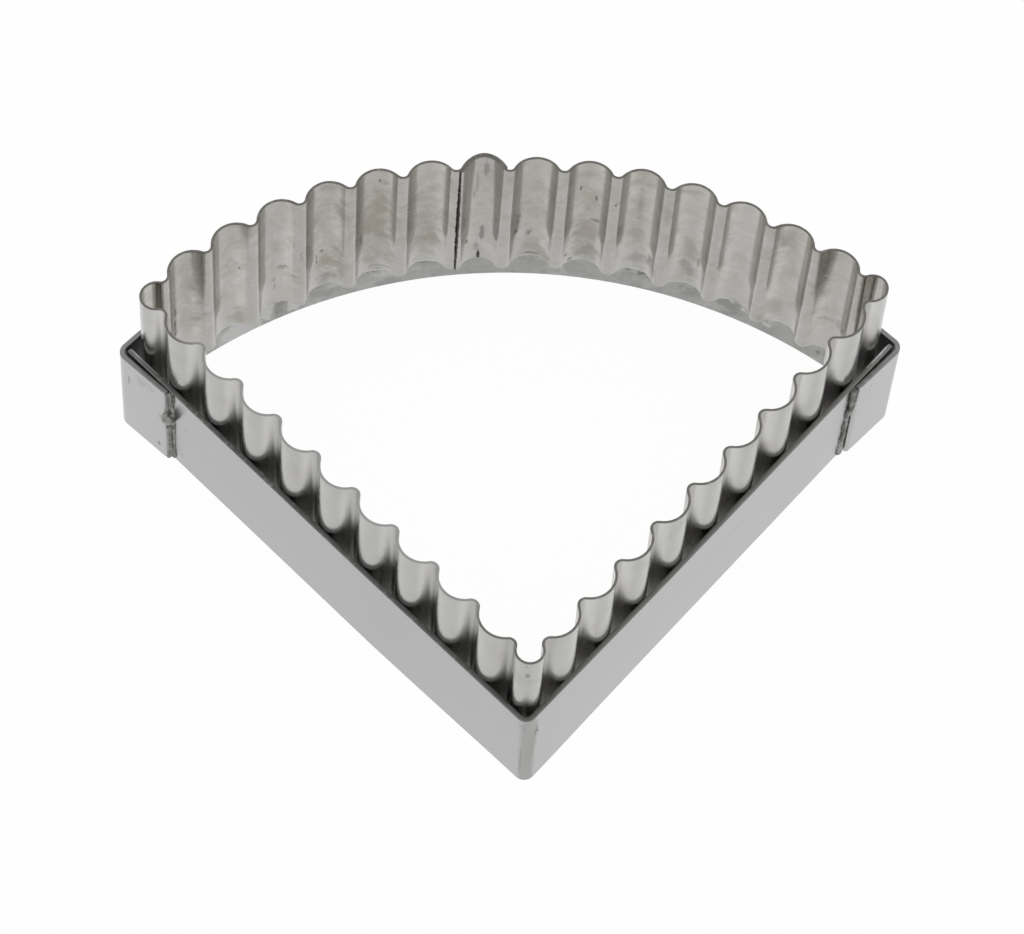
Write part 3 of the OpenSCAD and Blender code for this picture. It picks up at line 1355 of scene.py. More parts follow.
# Marks as seen in the photograph: each with its name, pixel, half sizes, tone and strength.
SMUDGES = (
    Smudge("flute 1 upper spot", 175, 313, 0.5, 2.0, DARK, 0.75, ragged=1.4),
    Smudge("flute 1 middle spot", 174.7, 325.6, 0.45, 2.6, PIT, 0.8, ragged=1.4),
    Smudge("flute 1 lower spot", 175.5, 333, 0.6, 1.2, DARK, 0.8, ragged=1.4),
    Smudge("flute 1 brown stain", 209, 320, 1.6, 4.0, BROWN, 0.5, soft=0.9),
    Smudge("flute 1 faint stain", 194, 316, 2.4, 4.0, TAN, 0.5, soft=0.9),
    Smudge("flute 1 beige side", 186, 290, 3.0, 12.0, BEIGE, 0.5, soft=0.9),
    Smudge("flute 2 pit", 237.4, 265.2, 0.24, 0.45, PIT, 0.8),
    Smudge("flute 2 rub", 234, 263, 2.8, 1.2, GREY, 0.22, 4.0, ragged=1.8, soft=0.9),
    Smudge("flute 2 brown stain", 255, 300, 0.9, 4.0, BROWN, 0.6, soft=0.9),
    Smudge("flute 2 line", 238, 305, 3.0, 0.8, BROWN, 0.3, soft=0.95, ragged=1.4),
    Smudge("flute 2 beige foot", 240, 312, 5.0, 6.0, TAN, 0.5, soft=0.9),
    Smudge("flute 3 smudge", 281, 265.5, 1.8, 1.1, BROWN, 0.6, soft=0.95, ragged=1.4),
    Smudge("flute 3 smudge end", 291, 268.5, 1.5, 1.0, BROWN, 0.5, 15.0, soft=0.95, ragged=1.2),
    Smudge("flute 3 nick", 274, 281, 0.4, 1.8, BROWN, 0.6, ragged=1.4, soft=0.8),
    Smudge("flute 3 lower nick", 274.7, 287, 0.35, 1.2, GREY, 0.6, ragged=1.4, soft=0.8),
    Smudge("flute 3 specks", 296, 247, 1.0, 4.0, GREY, 0.35, ragged=1.8),
    Smudge("flute 4 top", 334, 188, 4.4, 2.2, TAN, 0.4, soft=0.95),
    Smudge("flute 4 nick", 322, 251.7, 0.9, 0.6, GREY, 0.8, 35.0, ragged=1.6, soft=0.7),
    Smudge("flute 4 middle nick", 316.5, 257, 0.35, 1.6, DARK, 0.6, ragged=1.6, soft=0.8),
    Smudge("flute 4 lower nick", 316.7, 262.5, 0.3, 1.0, DARK, 0.8, ragged=1.4),
    Smudge("flute 4 stain", 335, 258, 4.8, 8.0, TAN, 0.6, soft=0.9, ragged=1.2),
    Smudge("flute 4 stain foot", 331, 273, 3.4, 1.4, BROWN, 0.4, soft=0.9),
    Smudge("flute 4 scratches", 338, 214, 2.4, 5.4, GREY, 0.35, ragged=2.4, soft=0.9),
    Smudge("flute 4 bright rub", 336, 222, 2.6, 4.0, LIGHT, 0.4, ragged=2.2, soft=0.9),
    Smudge("flute 5 dot", 380.5, 182, 0.45, 0.8, DARK, 0.8),
    Smudge("flute 5 dot smear", 386, 182, 1.5, 1.0, TAN, 0.5, soft=0.9),
    Smudge("flute 5 beige", 379, 203, 4.2, 11.0, BEIGE, 0.6, soft=0.9),
    Smudge("flute 5 smudge", 384, 233, 3.2, 1.8, GREY, 0.5, soft=0.95, ragged=1.3),
    Smudge("flute 5 smudge left", 368, 232, 1.8, 2.4, GREY, 0.35, soft=0.95),
    Smudge("flute 5 side", 360, 237, 0.7, 3.6, DARK, 0.7, soft=0.9),
    Smudge("flute 5 foot", 380, 254, 5.2, 8.0, GREY, 0.28, soft=0.95, ragged=1.6),
    Smudge("flute 5 foot bits", 380, 264, 3.4, 0.6, DARK, 0.3, ragged=2.0),
    Smudge("flute 6 smudge", 414.5, 197, 1.0, 2.0, GREY, 0.5, soft=0.9),
    Smudge("flute 6 stain", 431, 228, 4.4, 5.4, TAN, 0.4, soft=0.95, ragged=1.3),
    Smudge("flute 6 stain foot", 428, 243, 5.0, 5.0, TAN, 0.4, soft=0.95, ragged=1.3),
    Smudge("flute 6 dot", 425.6, 239.4, 0.3, 0.4, DARK, 0.5),
    Smudge("flute 7 drop", 486.7, 169, 0.8, 3.4, GREY, 0.6, soft=0.5),
    Smudge("flute 7 thin run", 477.5, 183, 0.35, 6.0, GREY, 0.4),
    Smudge("flute 7 short run", 474, 192, 0.3, 2.4, DARK, 0.4),
    Smudge("flute 7 weld spot", 481.7, 231, 0.65, 4.0, GREY, 0.75, soft=0.35, ragged=0.5),
    Smudge("flute 7 weld slot", 477.7, 252.5, 0.4, 2.7, PIT, 0.95, soft=0.3),
    Smudge("flute 7 slot smudge", 475.8, 244, 1.0, 2.6, GREY, 0.6, soft=0.9),
    Smudge("flute 7 bright swirl", 492, 243, 3.6, 3.0, LIGHT, 0.5, -30.0, ragged=2.0, soft=0.8),
    Smudge("flute 7 side speck", 465.6, 236.7, 0.6, 1.0, DARK, 0.7),
    Smudge("flute 8 side smudge", 517.8, 216.7, 1.0, 4.0, DARK, 0.6, soft=0.9),
    Smudge("flute 8 side pit", 515.6, 226.7, 0.4, 0.9, PIT, 0.8),
    Smudge("flute 8 spot", 529, 233, 1.0, 2.0, DARK, 0.65, soft=0.9),
    Smudge("flute 8 foot arch", 530, 253, 2.8, 1.0, DARK, 0.55, soft=0.7),
    Smudge("flute 9 top", 589, 174, 3.6, 2.0, TAN, 0.4, soft=0.95),
    Smudge("flute 9 dot", 581.2, 187, 0.35, 1.1, DARK, 0.7),
    Smudge("flute 9 lower dot", 596.7, 198, 0.35, 1.3, DARK, 0.7),
    Smudge("flute 9 bright run", 577.8, 189, 0.5, 5.0, LIGHT, 0.7),
    Smudge("flute 9 stain", 586, 229, 4.8, 9.0, TAN, 0.55, soft=0.9, ragged=1.3),
    Smudge("flute 9 stain side", 595.6, 219.5, 1.8, 0.8, BROWN, 0.7, -20.0),
    Smudge("flute 9 foot", 582, 250, 4.4, 3.6, BROWN, 0.35, soft=0.95, ragged=1.4),
    Smudge("flute 9 foot speck", 566, 249.5, 0.6, 0.8, DARK, 0.7),
    Smudge("flute 9 lower speck", 569, 256, 0.8, 0.6, DARK, 0.7),
    Smudge("ridge pit", 618.3, 194.4, 0.5, 0.8, DARK, 0.9),
    Smudge("flute 10 top", 639, 182, 4.0, 2.2, TAN, 0.4, soft=0.95),
    Smudge("flute 10 run", 641, 206, 1.2, 11.0, TAN, 0.5, soft=0.9),
    Smudge("flute 10 stain", 635.6, 232, 2.8, 4.0, TAN, 0.4, soft=0.95),
    Smudge("flute 10 side smudge", 650.5, 255.6, 0.9, 3.0, DARK, 0.6, soft=0.8),
    Smudge("flute 11 top", 692.5, 191, 4.0, 2.0, TAN, 0.4, soft=0.95),
    Smudge("flute 11 stain", 690, 252, 2.6, 5.4, BROWN, 0.4, soft=0.95, ragged=1.3),
    Smudge("flute 11 side", 699, 261, 0.8, 3.0, BROWN, 0.6, soft=0.9),
    Smudge("flute 12 bright", 738, 240, 5.0, 20.0, LIGHT, 0.4, soft=0.95),
    Smudge("flute 12 grey", 731, 235, 1.8, 2.8, GREY, 0.3, soft=0.95),
    Smudge("flute 12 crease", 722.5, 250, 0.25, 8.0, GREY, 0.4, 0.0, ragged=1.4),
    Smudge("flute 13 beige", 790, 238, 4.0, 8.0, BEIGE, 0.6, soft=0.95),
    Smudge("flute 13 stain", 765, 310, 1.4, 6.0, BROWN, 0.4, soft=0.95, ragged=1.3),
    Smudge("flute 13 stain side", 775, 305, 3.0, 5.0, TAN, 0.35, soft=0.95, ragged=1.3),
    Smudge("flute 14 ring", 830, 320, 3.4, 1.0, GREY, 0.28, soft=0.9, ragged=1.3),
    Smudge("flute 14 ring side", 838, 325, 0.8, 2.4, GREY, 0.4, soft=0.8),
    Smudge("flute 1 stain", 190, 310, 4.0, 14.0, TAN, 0.3, soft=0.95, ragged=1.4),
    Smudge("flute 3 light foot", 298, 303, 3.4, 2.0, LIGHT, 0.7, 20.0, soft=0.2, ragged=1.0),
    Smudge("flute 5 stain", 380, 222, 5.0, 8.0, TAN, 0.5, soft=0.95, ragged=1.4),
    Smudge("seam hook", 452, 266.5, 0.7, 0.5, DARK, 0.8, -25.0, ragged=1.6),
    Smudge("flute 8 foot", 535, 246, 5.0, 5.0, TAN, 0.5, soft=0.9, ragged=1.4),
    Smudge("flute 10 foot", 642, 256, 4.6, 4.0, GREY, 0.4, soft=0.9, ragged=1.6),
    Smudge("flute 10 light swirl", 628, 250, 3.0, 4.0, LIGHT, 0.4, 20.0, soft=0.9, ragged=2.0),
    Smudge("flute 11 foot", 688, 270, 4.6, 5.0, BROWN, 0.4, soft=0.9, ragged=1.4),
    # Painted highlights along the inner ridges between flutes 10 and 11, 12 and 13, and 4 and 5.
    Smudge("ridge light 10 to 11", 665, 235, 1.6, 20.0, LIGHT, 0.4, soft=0.8),
    Smudge("ridge light 12 to 13", 750, 275, 1.6, 20.0, LIGHT, 0.3, soft=0.8),
    Smudge("ridge light 4 to 5", 352, 262, 1.6, 10.0, LIGHT, 0.35, soft=0.8),
    Smudge("shade on flutes 3 to 6", 385, 222, 26.0, 26.0, TAN, 0.42, soft=0.95),
    Smudge("shade on flutes 7 to 11", 585, 220, 26.0, 26.0, TAN, 0.16, soft=0.95),
    Smudge("flute 14 dot", 844, 329.5, 0.5, 1.2, DARK, 0.8),
    # Painted reflection: a dark wedge down the flank of flute 14, wider at its top.
    Smudge("flute 14 wedge", 825, 272, 1.5, 15.0, GREY, 0.5, 8.0, soft=0.7, ragged=1.0),
    Smudge("flute 14 wedge top", 829, 258, 1.9, 8.0, GREY, 0.35, 8.0, soft=0.9),
    Smudge("flute 4 foot shade", 335, 273, 5.0, 5.0, GREY, 0.35, soft=0.95, ragged=1.4),
    Smudge("flute 9 foot shade", 590, 252, 5.0, 5.0, GREY, 0.28, soft=0.95, ragged=1.4),
    Smudge("flute 10 foot shade", 640, 259, 5.0, 5.0, GREY, 0.3, soft=0.95, ragged=1.4),
    Smudge("flute 11 foot shade", 692, 271, 5.0, 5.0, GREY, 0.2, soft=0.95, ragged=1.4),
    # Painted highlight along the inner ridge between flutes 5 and 6.
    Smudge("ridge 5 to 6 light", 407, 225, 1.2, 20.0, LIGHT, 0.25, soft=0.8),
)
FRAME_SMUDGES = (
    Smudge("patch under flute 2", 241, 330, 5.6, 5.0, LIGHT, 0.75, ragged=0.9, soft=0.12),
    Smudge("patch left of the bare spot", 267, 309, 2.2, 5.4, LIGHT, 0.8, ragged=0.9, soft=0.12),
    Smudge("patch right of the bare spot", 295, 303, 3.6, 3.0, LIGHT, 0.8, ragged=0.9, soft=0.12),
    Smudge("bare spot under flute 3", 281, 306, 2.1, 5.6, GREY, 0.6, ragged=1.7, soft=0.2),
    Smudge("shade under flute 4", 324, 292, 5.0, 3.4, GREY, 0.4, soft=0.8, ragged=1.2),
    Smudge("shade under flute 6", 428, 263, 4.6, 2.0, GREY, 0.25, soft=0.9, ragged=1.4),
    Smudge("streak under flute 6", 421, 262, 1.2, 0.7, DARK, 0.5, ragged=1.4),
    Smudge("shade under flute 8", 530, 255, 4.2, 1.6, GREY, 0.5, soft=0.8, ragged=1.4),
    Smudge("bit under flute 10", 629, 268, 1.1, 1.0, PIT, 0.6, -25.0, ragged=1.4),
    Smudge("bit right of it", 642, 273, 1.4, 1.1, DARK, 0.7, -25.0, ragged=1.4),
    Smudge("shade under flute 11", 692, 291, 3.6, 2.6, GREY, 0.45, soft=0.7, ragged=1.3),
    Smudge("shade under flute 12", 729, 304, 4.8, 3.6, GREY, 0.5, soft=0.6, ragged=1.3),
    Smudge("chip under flute 12", 732, 301.5, 0.7, 1.0, LIGHT, 0.8, ragged=1.4),
    Smudge("chip right of it", 743, 310, 0.8, 0.8, LIGHT, 0.8, ragged=1.4),
    Smudge("chip under flute 13", 767, 325, 1.6, 1.2, LIGHT, 0.8, -20.0, ragged=1.4),
    Smudge("light crescent under flute 4", 338, 284, 4.6, 1.3, LIGHT, 0.5, soft=0.7, ragged=1.2),
    Smudge("bits under flute 5", 381, 269.5, 3.4, 0.6, DARK, 0.5, ragged=2.2),
    Smudge("light bar under flute 5", 384, 274, 5.0, 1.5, LIGHT, 0.45, soft=0.6, ragged=1.2),
    Smudge("light under flute 10", 612, 272, 4.0, 2.4, LIGHT, 0.35, -20.0, soft=0.8, ragged=1.6),
    Smudge("light under flute 13", 770, 318, 3.0, 1.4, LIGHT, 0.35, -25.0, soft=0.8, ragged=1.6),
    Smudge("dark bit under flute 14", 818, 352, 0.7, 1.8, DARK, 0.6, ragged=1.2),
    Smudge("wider shade under flute 8", 540, 262, 5.0, 2.6, GREY, 0.25, soft=0.9, ragged=1.2),
    Smudge("wider shade under flute 10", 640, 276, 5.0, 2.6, GREY, 0.4, soft=0.9, ragged=1.2),
)
APEX_SMUDGES = (
    Smudge("apex flute pit", 528, 675, 0.8, 1.6, GREY, 0.7, soft=0.8),
    Smudge("apex flute faint spot", 526.5, 667, 0.7, 0.8, GREY, 0.4, soft=0.9),
    Smudge("apex flute dull foot", 527.8, 702, 2.6, 4.5, LIGHT, 0.4, ragged=0.3, soft=0.9),
)
LEFT_TAB_SMUDGES = (
    Smudge("upper pit", 129, 380, 0.5, 2.6, GREY, 0.7, ragged=1.2, soft=0.7),
    Smudge("upper cloud", 142, 383, 2.2, 2.6, GREY, 0.28, ragged=1.6, soft=0.95),
    Smudge("second cloud", 150, 388, 1.4, 2.2, GREY, 0.25, ragged=1.6, soft=0.95),
    Smudge("lower dot", 159.3, 443, 0.6, 1.1, DARK, 0.7, soft=0.6),
    Smudge("edge smudge", 160, 416, 0.5, 2.0, GREY, 0.4, soft=0.9),
)
LEFT_LEG_SMUDGES = (
    Smudge("beside the knot", 178, 417, 0.9, 2.4, GREY, 0.1, soft=0.95),
    Smudge("first dot", 186, 431, 0.6, 1.4, GREY, 0.22, soft=0.9),
    Smudge("foot of the leg", 182, 455, 1.0, 2.0, GREY, 0.2, soft=0.9),
    Smudge("rub far down", 474, 702, 1.4, 1.8, GREY, 0.08, soft=0.9),
)
RIGHT_LEG_SMUDGES = (
    Smudge("grey shade under the bead", 838, 402, 2.2, 3.0, GREY, 0.3, soft=0.95),
    Smudge("faint rub", 738, 526, 5.0, 2.0, GREY, 0.07, 35.0, soft=0.95),
)
RIGHT_TAB_SMUDGES = (
    Smudge("hair line", 871, 386, 0.4, 1.6, GREY, 0.25, 30.0),
    Smudge("burr shade", 866, 428, 1.0, 0.8, GREY, 0.2, soft=0.9),
)
APEX_BEND_MARKS = (
    # The first marks make the front of the apex bend darker and rougher down its whole height.
    Smudge("bend, darker band", 528, 748, 2.05, 44.0, DULL, 0.5, ragged=0.15, soft=0.3),
    Smudge("bend, soft side", 529.5, 748, 3.1, 44.0, DULL, 0.45, ragged=0.15, soft=0.9),
    Smudge("bend, lower left line", 520, 762, 0.45, 9.0, GREY, 0.4, ragged=0.8, soft=0.9),
    Smudge("bend, upper right side", 535.5, 738, 1.3, 20.0, DULL, 0.7, 4.0, ragged=0.15, soft=0.5),
    Smudge("bend nick", 537.5, 735, 0.8, 3.0, DARK, 0.95, ragged=1.0, soft=0.6),
    Smudge("bend scrape", 523, 728, 1.0, 3.0, GREY, 0.25, ragged=1.8, soft=0.9),
)


@dataclass
class FlutedBand:
    """The cutting band: one corrugated strip, closed by the lapped seam.

    The upper part of the curved side isn't quite true. Each of its flutes, and the two in the corners,
    leans back by the amount in lean_back, from left to right. The lapped flute leans by lap_lift more,
    about a line lap_aside of a flute beside its middle, and the right side by side_lean at its corner. A
    point leans fully from lean_inset inside the line of the ridges, and lean_fade is the run over which it
    begins. The marks lie about a wall mark_wall outside that line. The inner face has two materials, which
    share the marks within mark_overlap of the middle.
    """

    plan: CutterPlan
    view: View
    node: str = "fluted_band"
    lean_back: tuple[float, ...] = (
        -0.05, 0.3, 0.45, 0.6, 0.55, 0.25, 0.0, 0.1, -0.3, -0.2, 0.0, -0.15, -0.3, -0.35, -0.05, 0.75,
    )
    lap_lift: float = 0.4
    lap_aside: float = 0.05
    side_lean: float = 0.4
    lean_inset: float = 1.0
    lean_fade: float = 6.0
    mark_overlap: float = 1.5
    mark_wall: float = 1.9

    def build(self) -> Piece:
        """Models the band and dresses it.

        Returns:
            The finished piece.
        """
        plan = self.plan
        low, high = plan.band_lift, plan.band_lift + plan.band_h
        wall = SheetWall(
            name="cutting_band", plan=plan, bends=plan.band_bends, thickness=plan.band_t, base=low,
            height=plan.band_h, rows=(low + 0.2, low + 3, 14.0, plan.frame_h + 0.5, 27.0, 31.0, high - 0.2),
            edge_material=int(Face.RIM),
        )
        sheet = wall.build()
        nudge(sheet, "leans_back", "Y", 1.0, self._shift, least=0.001)
        nudge(sheet, "leans_in", "Y", -1.0, lambda point: -self._shift(point), least=0.001)
        piece = wall.finish(sheet)
        piece.data.materials.append(bpy.data.materials.new(f"{wall.name}_{Face.INNER_RIGHT.name.lower()}"))
        for face in piece.data.polygons:
            if face.material_index == Face.INNER and face.center.x > 0:
                face.material_index = Face.INNER_RIGHT
        self._dress(piece)
        return piece

    def _shift(self, point: Vector) -> float:
        """How far a point of the sheet leans back, in millimetres.

        Args:
            point: The point.

        Returns:
            The shift, negative where the point leans in.
        """
        plan = self.plan
        rise = (point.z - plan.frame_h) / (plan.band_lift + plan.band_h - plan.frame_h)
        spoke = point - plan.placed(plan.arc_c) / MM
        inside = plan.arc_r - self.lean_inset - spoke.xy.length
        near = min(1.0, max(0.0, 1.0 - inside / self.lean_fade))
        side = self.side_lean * max(0.0, point.x) / (plan.along.x * plan.side_l) * (1 - near)
        if rise <= 0:
            return 0.0
        index = math.degrees(math.atan2(spoke.x, spoke.y)) / plan.arc_pitch + (plan.arc_flutes + 1) / 2
        place = min(max(index, 0.0), plan.arc_flutes + 0.999)
        first, part = int(place), place % 1
        blend = (1 - math.cos(math.pi * part)) / 2
        lean = self.lean_back[first] * (1 - blend) + self.lean_back[first + 1] * blend
        aside = abs(index - plan.lap_flute - self.lap_aside)
        if aside < 0.5:
            lean += self.lap_lift * math.cos(math.pi * aside) ** 2
        return (lean * near + side) * rise

    def _dress(self, piece: Piece) -> None:
        """Gives each face of the sheet its finish.

        Args:
            piece: The band.
        """
        plan = self.plan
        outer, inner, rim, _, end, inner_right = piece.data.materials
        wall = CurvedWall(plan.placed(plan.arc_c) / MM, plan.arc_r + self.mark_wall)
        marks = tuple(smudge.on(wall, self.view) for smudge in SMUDGES)
        apex = FlatWall(plan.placed(Vector((0.0, plan.apex_flute_in - plan.apex_flute_r))) / MM, -90.0)
        # Outer face: its flank gain is painted light on the flanks from 18 mm up.
        SheetFinish(
            (0.445, 0.441, 0.43), (0.39, 0.38, 0.355), 0.35, grain_tone=0.015, grain_depth=0.0,
            ridge_roughness=0.34, flank=0.42, flank_zone=(0.1, 0.6, 0.7, 1.9), flank_low=18.0,
            marks=tuple(smudge.on(apex, self.view) for smudge in APEX_SMUDGES),
        ).dress(outer, plan)
        halves = (
            (inner, tuple(mark for mark in marks if mark.place.x < self.mark_overlap) + (self._seam_painted_shadow(),)),
            (inner_right, tuple(mark for mark in marks if mark.place.x > -self.mark_overlap)),
        )
        # Inner faces: their colour, darker than the outer face's, is painted shade for the shaded floor inside the
        # ring that they reflect; their flank gain is painted light.
        for material, placed in halves:
            SheetFinish(
                (0.402, 0.389, 0.3665), (0.335, 0.312, 0.27), 0.6, stain_size=0.2, streak_strength=0.2,
                patch=(0.47, 0.465, 0.45), patch_strength=0.35, patch_size=0.3, patch_start=0.5, patch_soft=0.14,
                grain_tone=0.02, grain_depth=0.001, mottle=0.06, flank=0.2, coat=FootCoat(), marks=placed,
            ).dress(material, plan)
        mid = plan.placed(plan.along * (plan.side_l / 2)) / MM
        left = Mark(
            Vector((-mid.x, mid.y, plan.frame_h)), (40.0, 7.0, 60.0), DULL, 0.8, 90.0 + plan.half,
            ragged=0.1, soft=0.3,
        )
        EdgeFinish((0.15, 0.145, 0.132), (0.32, 0.31, 0.29), marks=(left,)).dress(rim)
        # The band's upright cut ends lie at the lapped seam; their near-black colour is painted shadow of the
        # seam's gap over the dark cut edge.
        EdgeFinish((0.03, 0.029, 0.027), (0.12, 0.12, 0.11)).dress(end)

    def _seam_painted_shadow(self) -> Mark:
        """Painted shadow in the open end of the lapped seam: a near-black mark where the gap lies in shade.

        Returns:
            The mark.
        """
        plan, end = self.plan, self.plan.band_bends[0]
        place = plan.placed(end.at(end.start), 21.0) / MM
        return Mark(place, (0.28, 0.7, 15.5), PIT, 0.95, end.start - 90, ragged=0.9, soft=0.35)


def frame_wall(
    plan: CutterPlan, name: str, bends: list[Bend], step: float, end_rounds: tuple[float, float]
) -> SheetWall:
    """The wall of a frame strip, from the table up.

    Args:
        plan: The cutter's plan.
        name: The strip's name.
        bends: Its bends.
        step: Largest turn between two upright lines, in degrees.
        end_rounds: Radii of the outer and inner upright edges at its ends.

    Returns:
        The wall, to be built.
    """
    rows = (0.3, plan.frame_h / 2, plan.frame_h - 0.3)
    return SheetWall(
        name=name, plan=plan, bends=bends, thickness=plan.frame_t, base=0.0, height=plan.frame_h, rows=rows,
        step=step, edge=0.07, edge_material=int(Face.WORN), end_rounds=end_rounds,
    )


@dataclass
class FrontFrame:
    """The front strip of the frame: a V with one tight bend, whose foot is pushed a little to the right.

    The push fades over push_run from the bend, by the power push_curve, where the legs are cut at the
    runs in cuts.
    """

    plan: CutterPlan
    view: View
    node: str = "front_frame"
    push: float = 0.6
    push_run: float = 26.0
    push_curve: float = 1.5
    cuts: tuple[float, ...] = (4.0, 10.0, 16.0, 22.0)

    def build(self) -> Piece:
        """Models the strip and dresses it.

        Returns:
            The finished piece.
        """
        wall = frame_wall(self.plan, "front_strip", self.plan.front_bends, 6.0, (0.3, 0.3))
        sheet = wall.build()
        self._cut_legs(sheet)
        nudge(sheet, "foot", "X", self.push, self._pushed)
        piece = wall.finish(sheet)
        self._dress(piece)
        return piece

    def _cut_legs(self, sheet: Piece) -> None:
        """Cuts upright lines into the legs near the apex, where the sheet is pushed.

        Args:
            sheet: The bent sheet.
        """
        edit(sheet)
        for run in self.cuts:
            for side in (-1, 1):
                point = self.plan.along * run
                select_whole()
                bpy.ops.mesh.bisect(
                    plane_co=self.plan.placed(Vector((point.x * side, point.y))),
                    plane_no=(self.plan.along.x * side, self.plan.along.y, 0),
                )
        leave()

    def _pushed(self, point: Vector) -> float:
        """Share of the push at a point: full at the foot of the bend, none at the top and far along the legs.

        Args:
            point: The point.

        Returns:
            The share.
        """
        fall = 1 - point.z / self.plan.frame_h
        near = 1 - (point.y - (self.plan.apex_bend_c.y - self.plan.y_mid)) / self.push_run
        return min(1.0, max(0.0, near)) ** self.push_curve * max(0.0, fall)

    def _dress(self, piece: Piece) -> None:
        """Gives the strip its finishes and marks.

        Args:
            piece: The strip.
        """
        plan = self.plan
        tip = plan.placed(Vector((0.0, plan.apex_bend_c.y - plan.apex_bend_r - plan.frame_t / 2))) / MM
        face = plan.placed(plan.outward * plan.frame_out) / MM
        walls = (
            (FlatWall(tip, -90.0, 1.5), APEX_BEND_MARKS),
            (FlatWall(across(face).to_3d(), 180 + plan.half), LEFT_LEG_SMUDGES),
            (FlatWall(face, -plan.half), RIGHT_LEG_SMUDGES),
        )
        marks = tuple(smudge.on(wall, self.view) for wall, smudges in walls for smudge in smudges)
        middle = plan.placed(plan.along * 45.0) / MM
        lighter = Mark(middle, (60.0, 7.0, 60.0), GREY, 1.0, 90 - plan.half, ragged=0.1, soft=0.3)
        inside = SheetFinish((0.56, 0.555, 0.545), (0.46, 0.45, 0.43), 0.4, roughness=0.42)
        end = plan.front_bends[0]
        spot = end.at(end.start) - plan.along * 3.0 - plan.outward * (plan.frame_t * 0.4)
        burr = Mark(
            plan.placed(spot, plan.frame_h) / MM, (3.2, 0.3, 0.8), LIGHT, 1.0, 90 - plan.half,
            ragged=0.7, soft=0.5,
        )
        line = Mark(
            plan.placed(across(spot), plan.frame_h) / MM, (5.0, 0.2, 0.6), LIGHT, 0.7, 90 + plan.half,
            ragged=0.5, soft=0.6,
        )
        dress_frame(piece, (0.415, 0.413, 0.411), inside, marks, 0.15, (lighter, burr, line))


@dataclass
class RearFrame:
    """The rear strip of the frame: the curved part, two rounded corners and two tabs.

    Solder that ran down from the ridges lies about foot_height above the table.
    """

    plan: CutterPlan
    view: View
    node: str = "rear_frame"
    foot_height: float = 5.6

    def build(self) -> Piece:
        """Models the strip and dresses it.

        Returns:
            The finished piece.
        """
        wall = frame_wall(self.plan, "rear_strip", self.plan.rear_bends, 2.0, (0.6, 0.0))
        piece = wall.finish(wall.build())
        self._dress(piece)
        return piece

    def _dress(self, piece: Piece) -> None:
        """Gives the strip its finishes and marks.

        Args:
            piece: The strip.
        """
        plan = self.plan
        inner = CurvedWall(plan.placed(plan.arc_c) / MM, plan.arc_r + plan.frame_in, 0.6)
        inside = SheetFinish(
            (0.338, 0.337, 0.331), (0.295, 0.29, 0.279), 0.6, stain_size=0.3, roughness=0.35, mottle=0.07,
            patch=(0.428, 0.426, 0.416), patch_strength=0.6, patch_size=0.2, patch_start=0.52, patch_soft=0.08,
            marks=(*(smudge.on(inner, self.view) for smudge in FRAME_SMUDGES), *self._ridge_feet()),
        )
        tab = plan.placed(plan.tab_end + plan.tab_out * (plan.frame_t / 2)) / MM
        normal = -plan.half - plan.tab_splay
        walls = (
            (FlatWall(across(tab).to_3d(), 180 - normal), LEFT_TAB_SMUDGES),
            (FlatWall(tab, normal), RIGHT_TAB_SMUDGES),
        )
        marks = tuple(smudge.on(wall, self.view) for wall, smudges in walls for smudge in smudges)
        dress_frame(piece, (0.452, 0.45, 0.448), inside, marks, 0.22)

    def _ridge_feet(self) -> list[Mark]:
        """Light solder that ran down the frame's inside from the foot of each ridge.

        Returns:
            The marks, from left to right.
        """
        plan = self.plan
        rng = random.Random(plan.seed)
        feet = []
        for i in range(plan.arc_flutes + 1):
            angle = 90 + (plan.arc_flutes / 2 - i) * plan.arc_pitch
            place = plan.placed(plan.arc_c + unit(angle) * (plan.arc_r + plan.frame_in), self.foot_height) / MM
            size = (rng.uniform(1.3, 2.4), 0.6, rng.uniform(1.6, 3.0))
            feet.append(Mark(place, size, LIGHT, rng.uniform(0.3, 0.6), angle - 90, ragged=1.5, soft=0.85))
        return feet


def dress_frame(
    piece: Piece, face: Colour, inside: SheetFinish, marks: tuple[Mark, ...], tone: float,
    rim_marks: tuple[Mark, ...] = (),
) -> None:
    """Gives a frame strip its finishes.

    Args:
        piece: The strip.
        face: Colour of its outer face.
        inside: Finish of its inner face.
        marks: Marks on its outer face.
        tone: Tone of its cut edges.
        rim_marks: Marks on its cut edges.
    """
    outer, inner, rim, worn, end = piece.data.materials
    SheetFinish(
        face, (0.425, 0.424, 0.42), 0.2, stain_size=0.05, roughness=0.25, roughness_spread=0.02,
        grain_tone=0.005, grain_depth=0.0, wave_depth=0.006, marks=marks,
    ).dress(outer)
    inside.dress(inner)
    EdgeFinish((tone, tone, tone * 0.98), (0.34, 0.34, 0.335), marks=rim_marks).dress(rim)
    EdgeFinish((0.19, 0.19, 0.187), (0.34, 0.34, 0.335), marks=rim_marks[1:]).dress(worn)
    EdgeFinish((0.27, 0.265, 0.25), (0.4, 0.39, 0.37), roughness=0.5).dress(end)


def ragged(piece: Piece, size: float, depth: float) -> None:
    """Roughens a surface with small lumps.

    Args:
        piece: The object.
        size: Size of the lumps.
        depth: Height between their lowest and highest points.
    """
    clouds = bpy.data.textures.new(f"{piece.name}_lumps", "CLOUDS")
    clouds.noise_scale = size * MM
    clouds.noise_depth = 2
    modify(piece, "DISPLACE", texture=clouds, texture_coords="LOCAL", strength=depth * MM, mid_level=0.5)


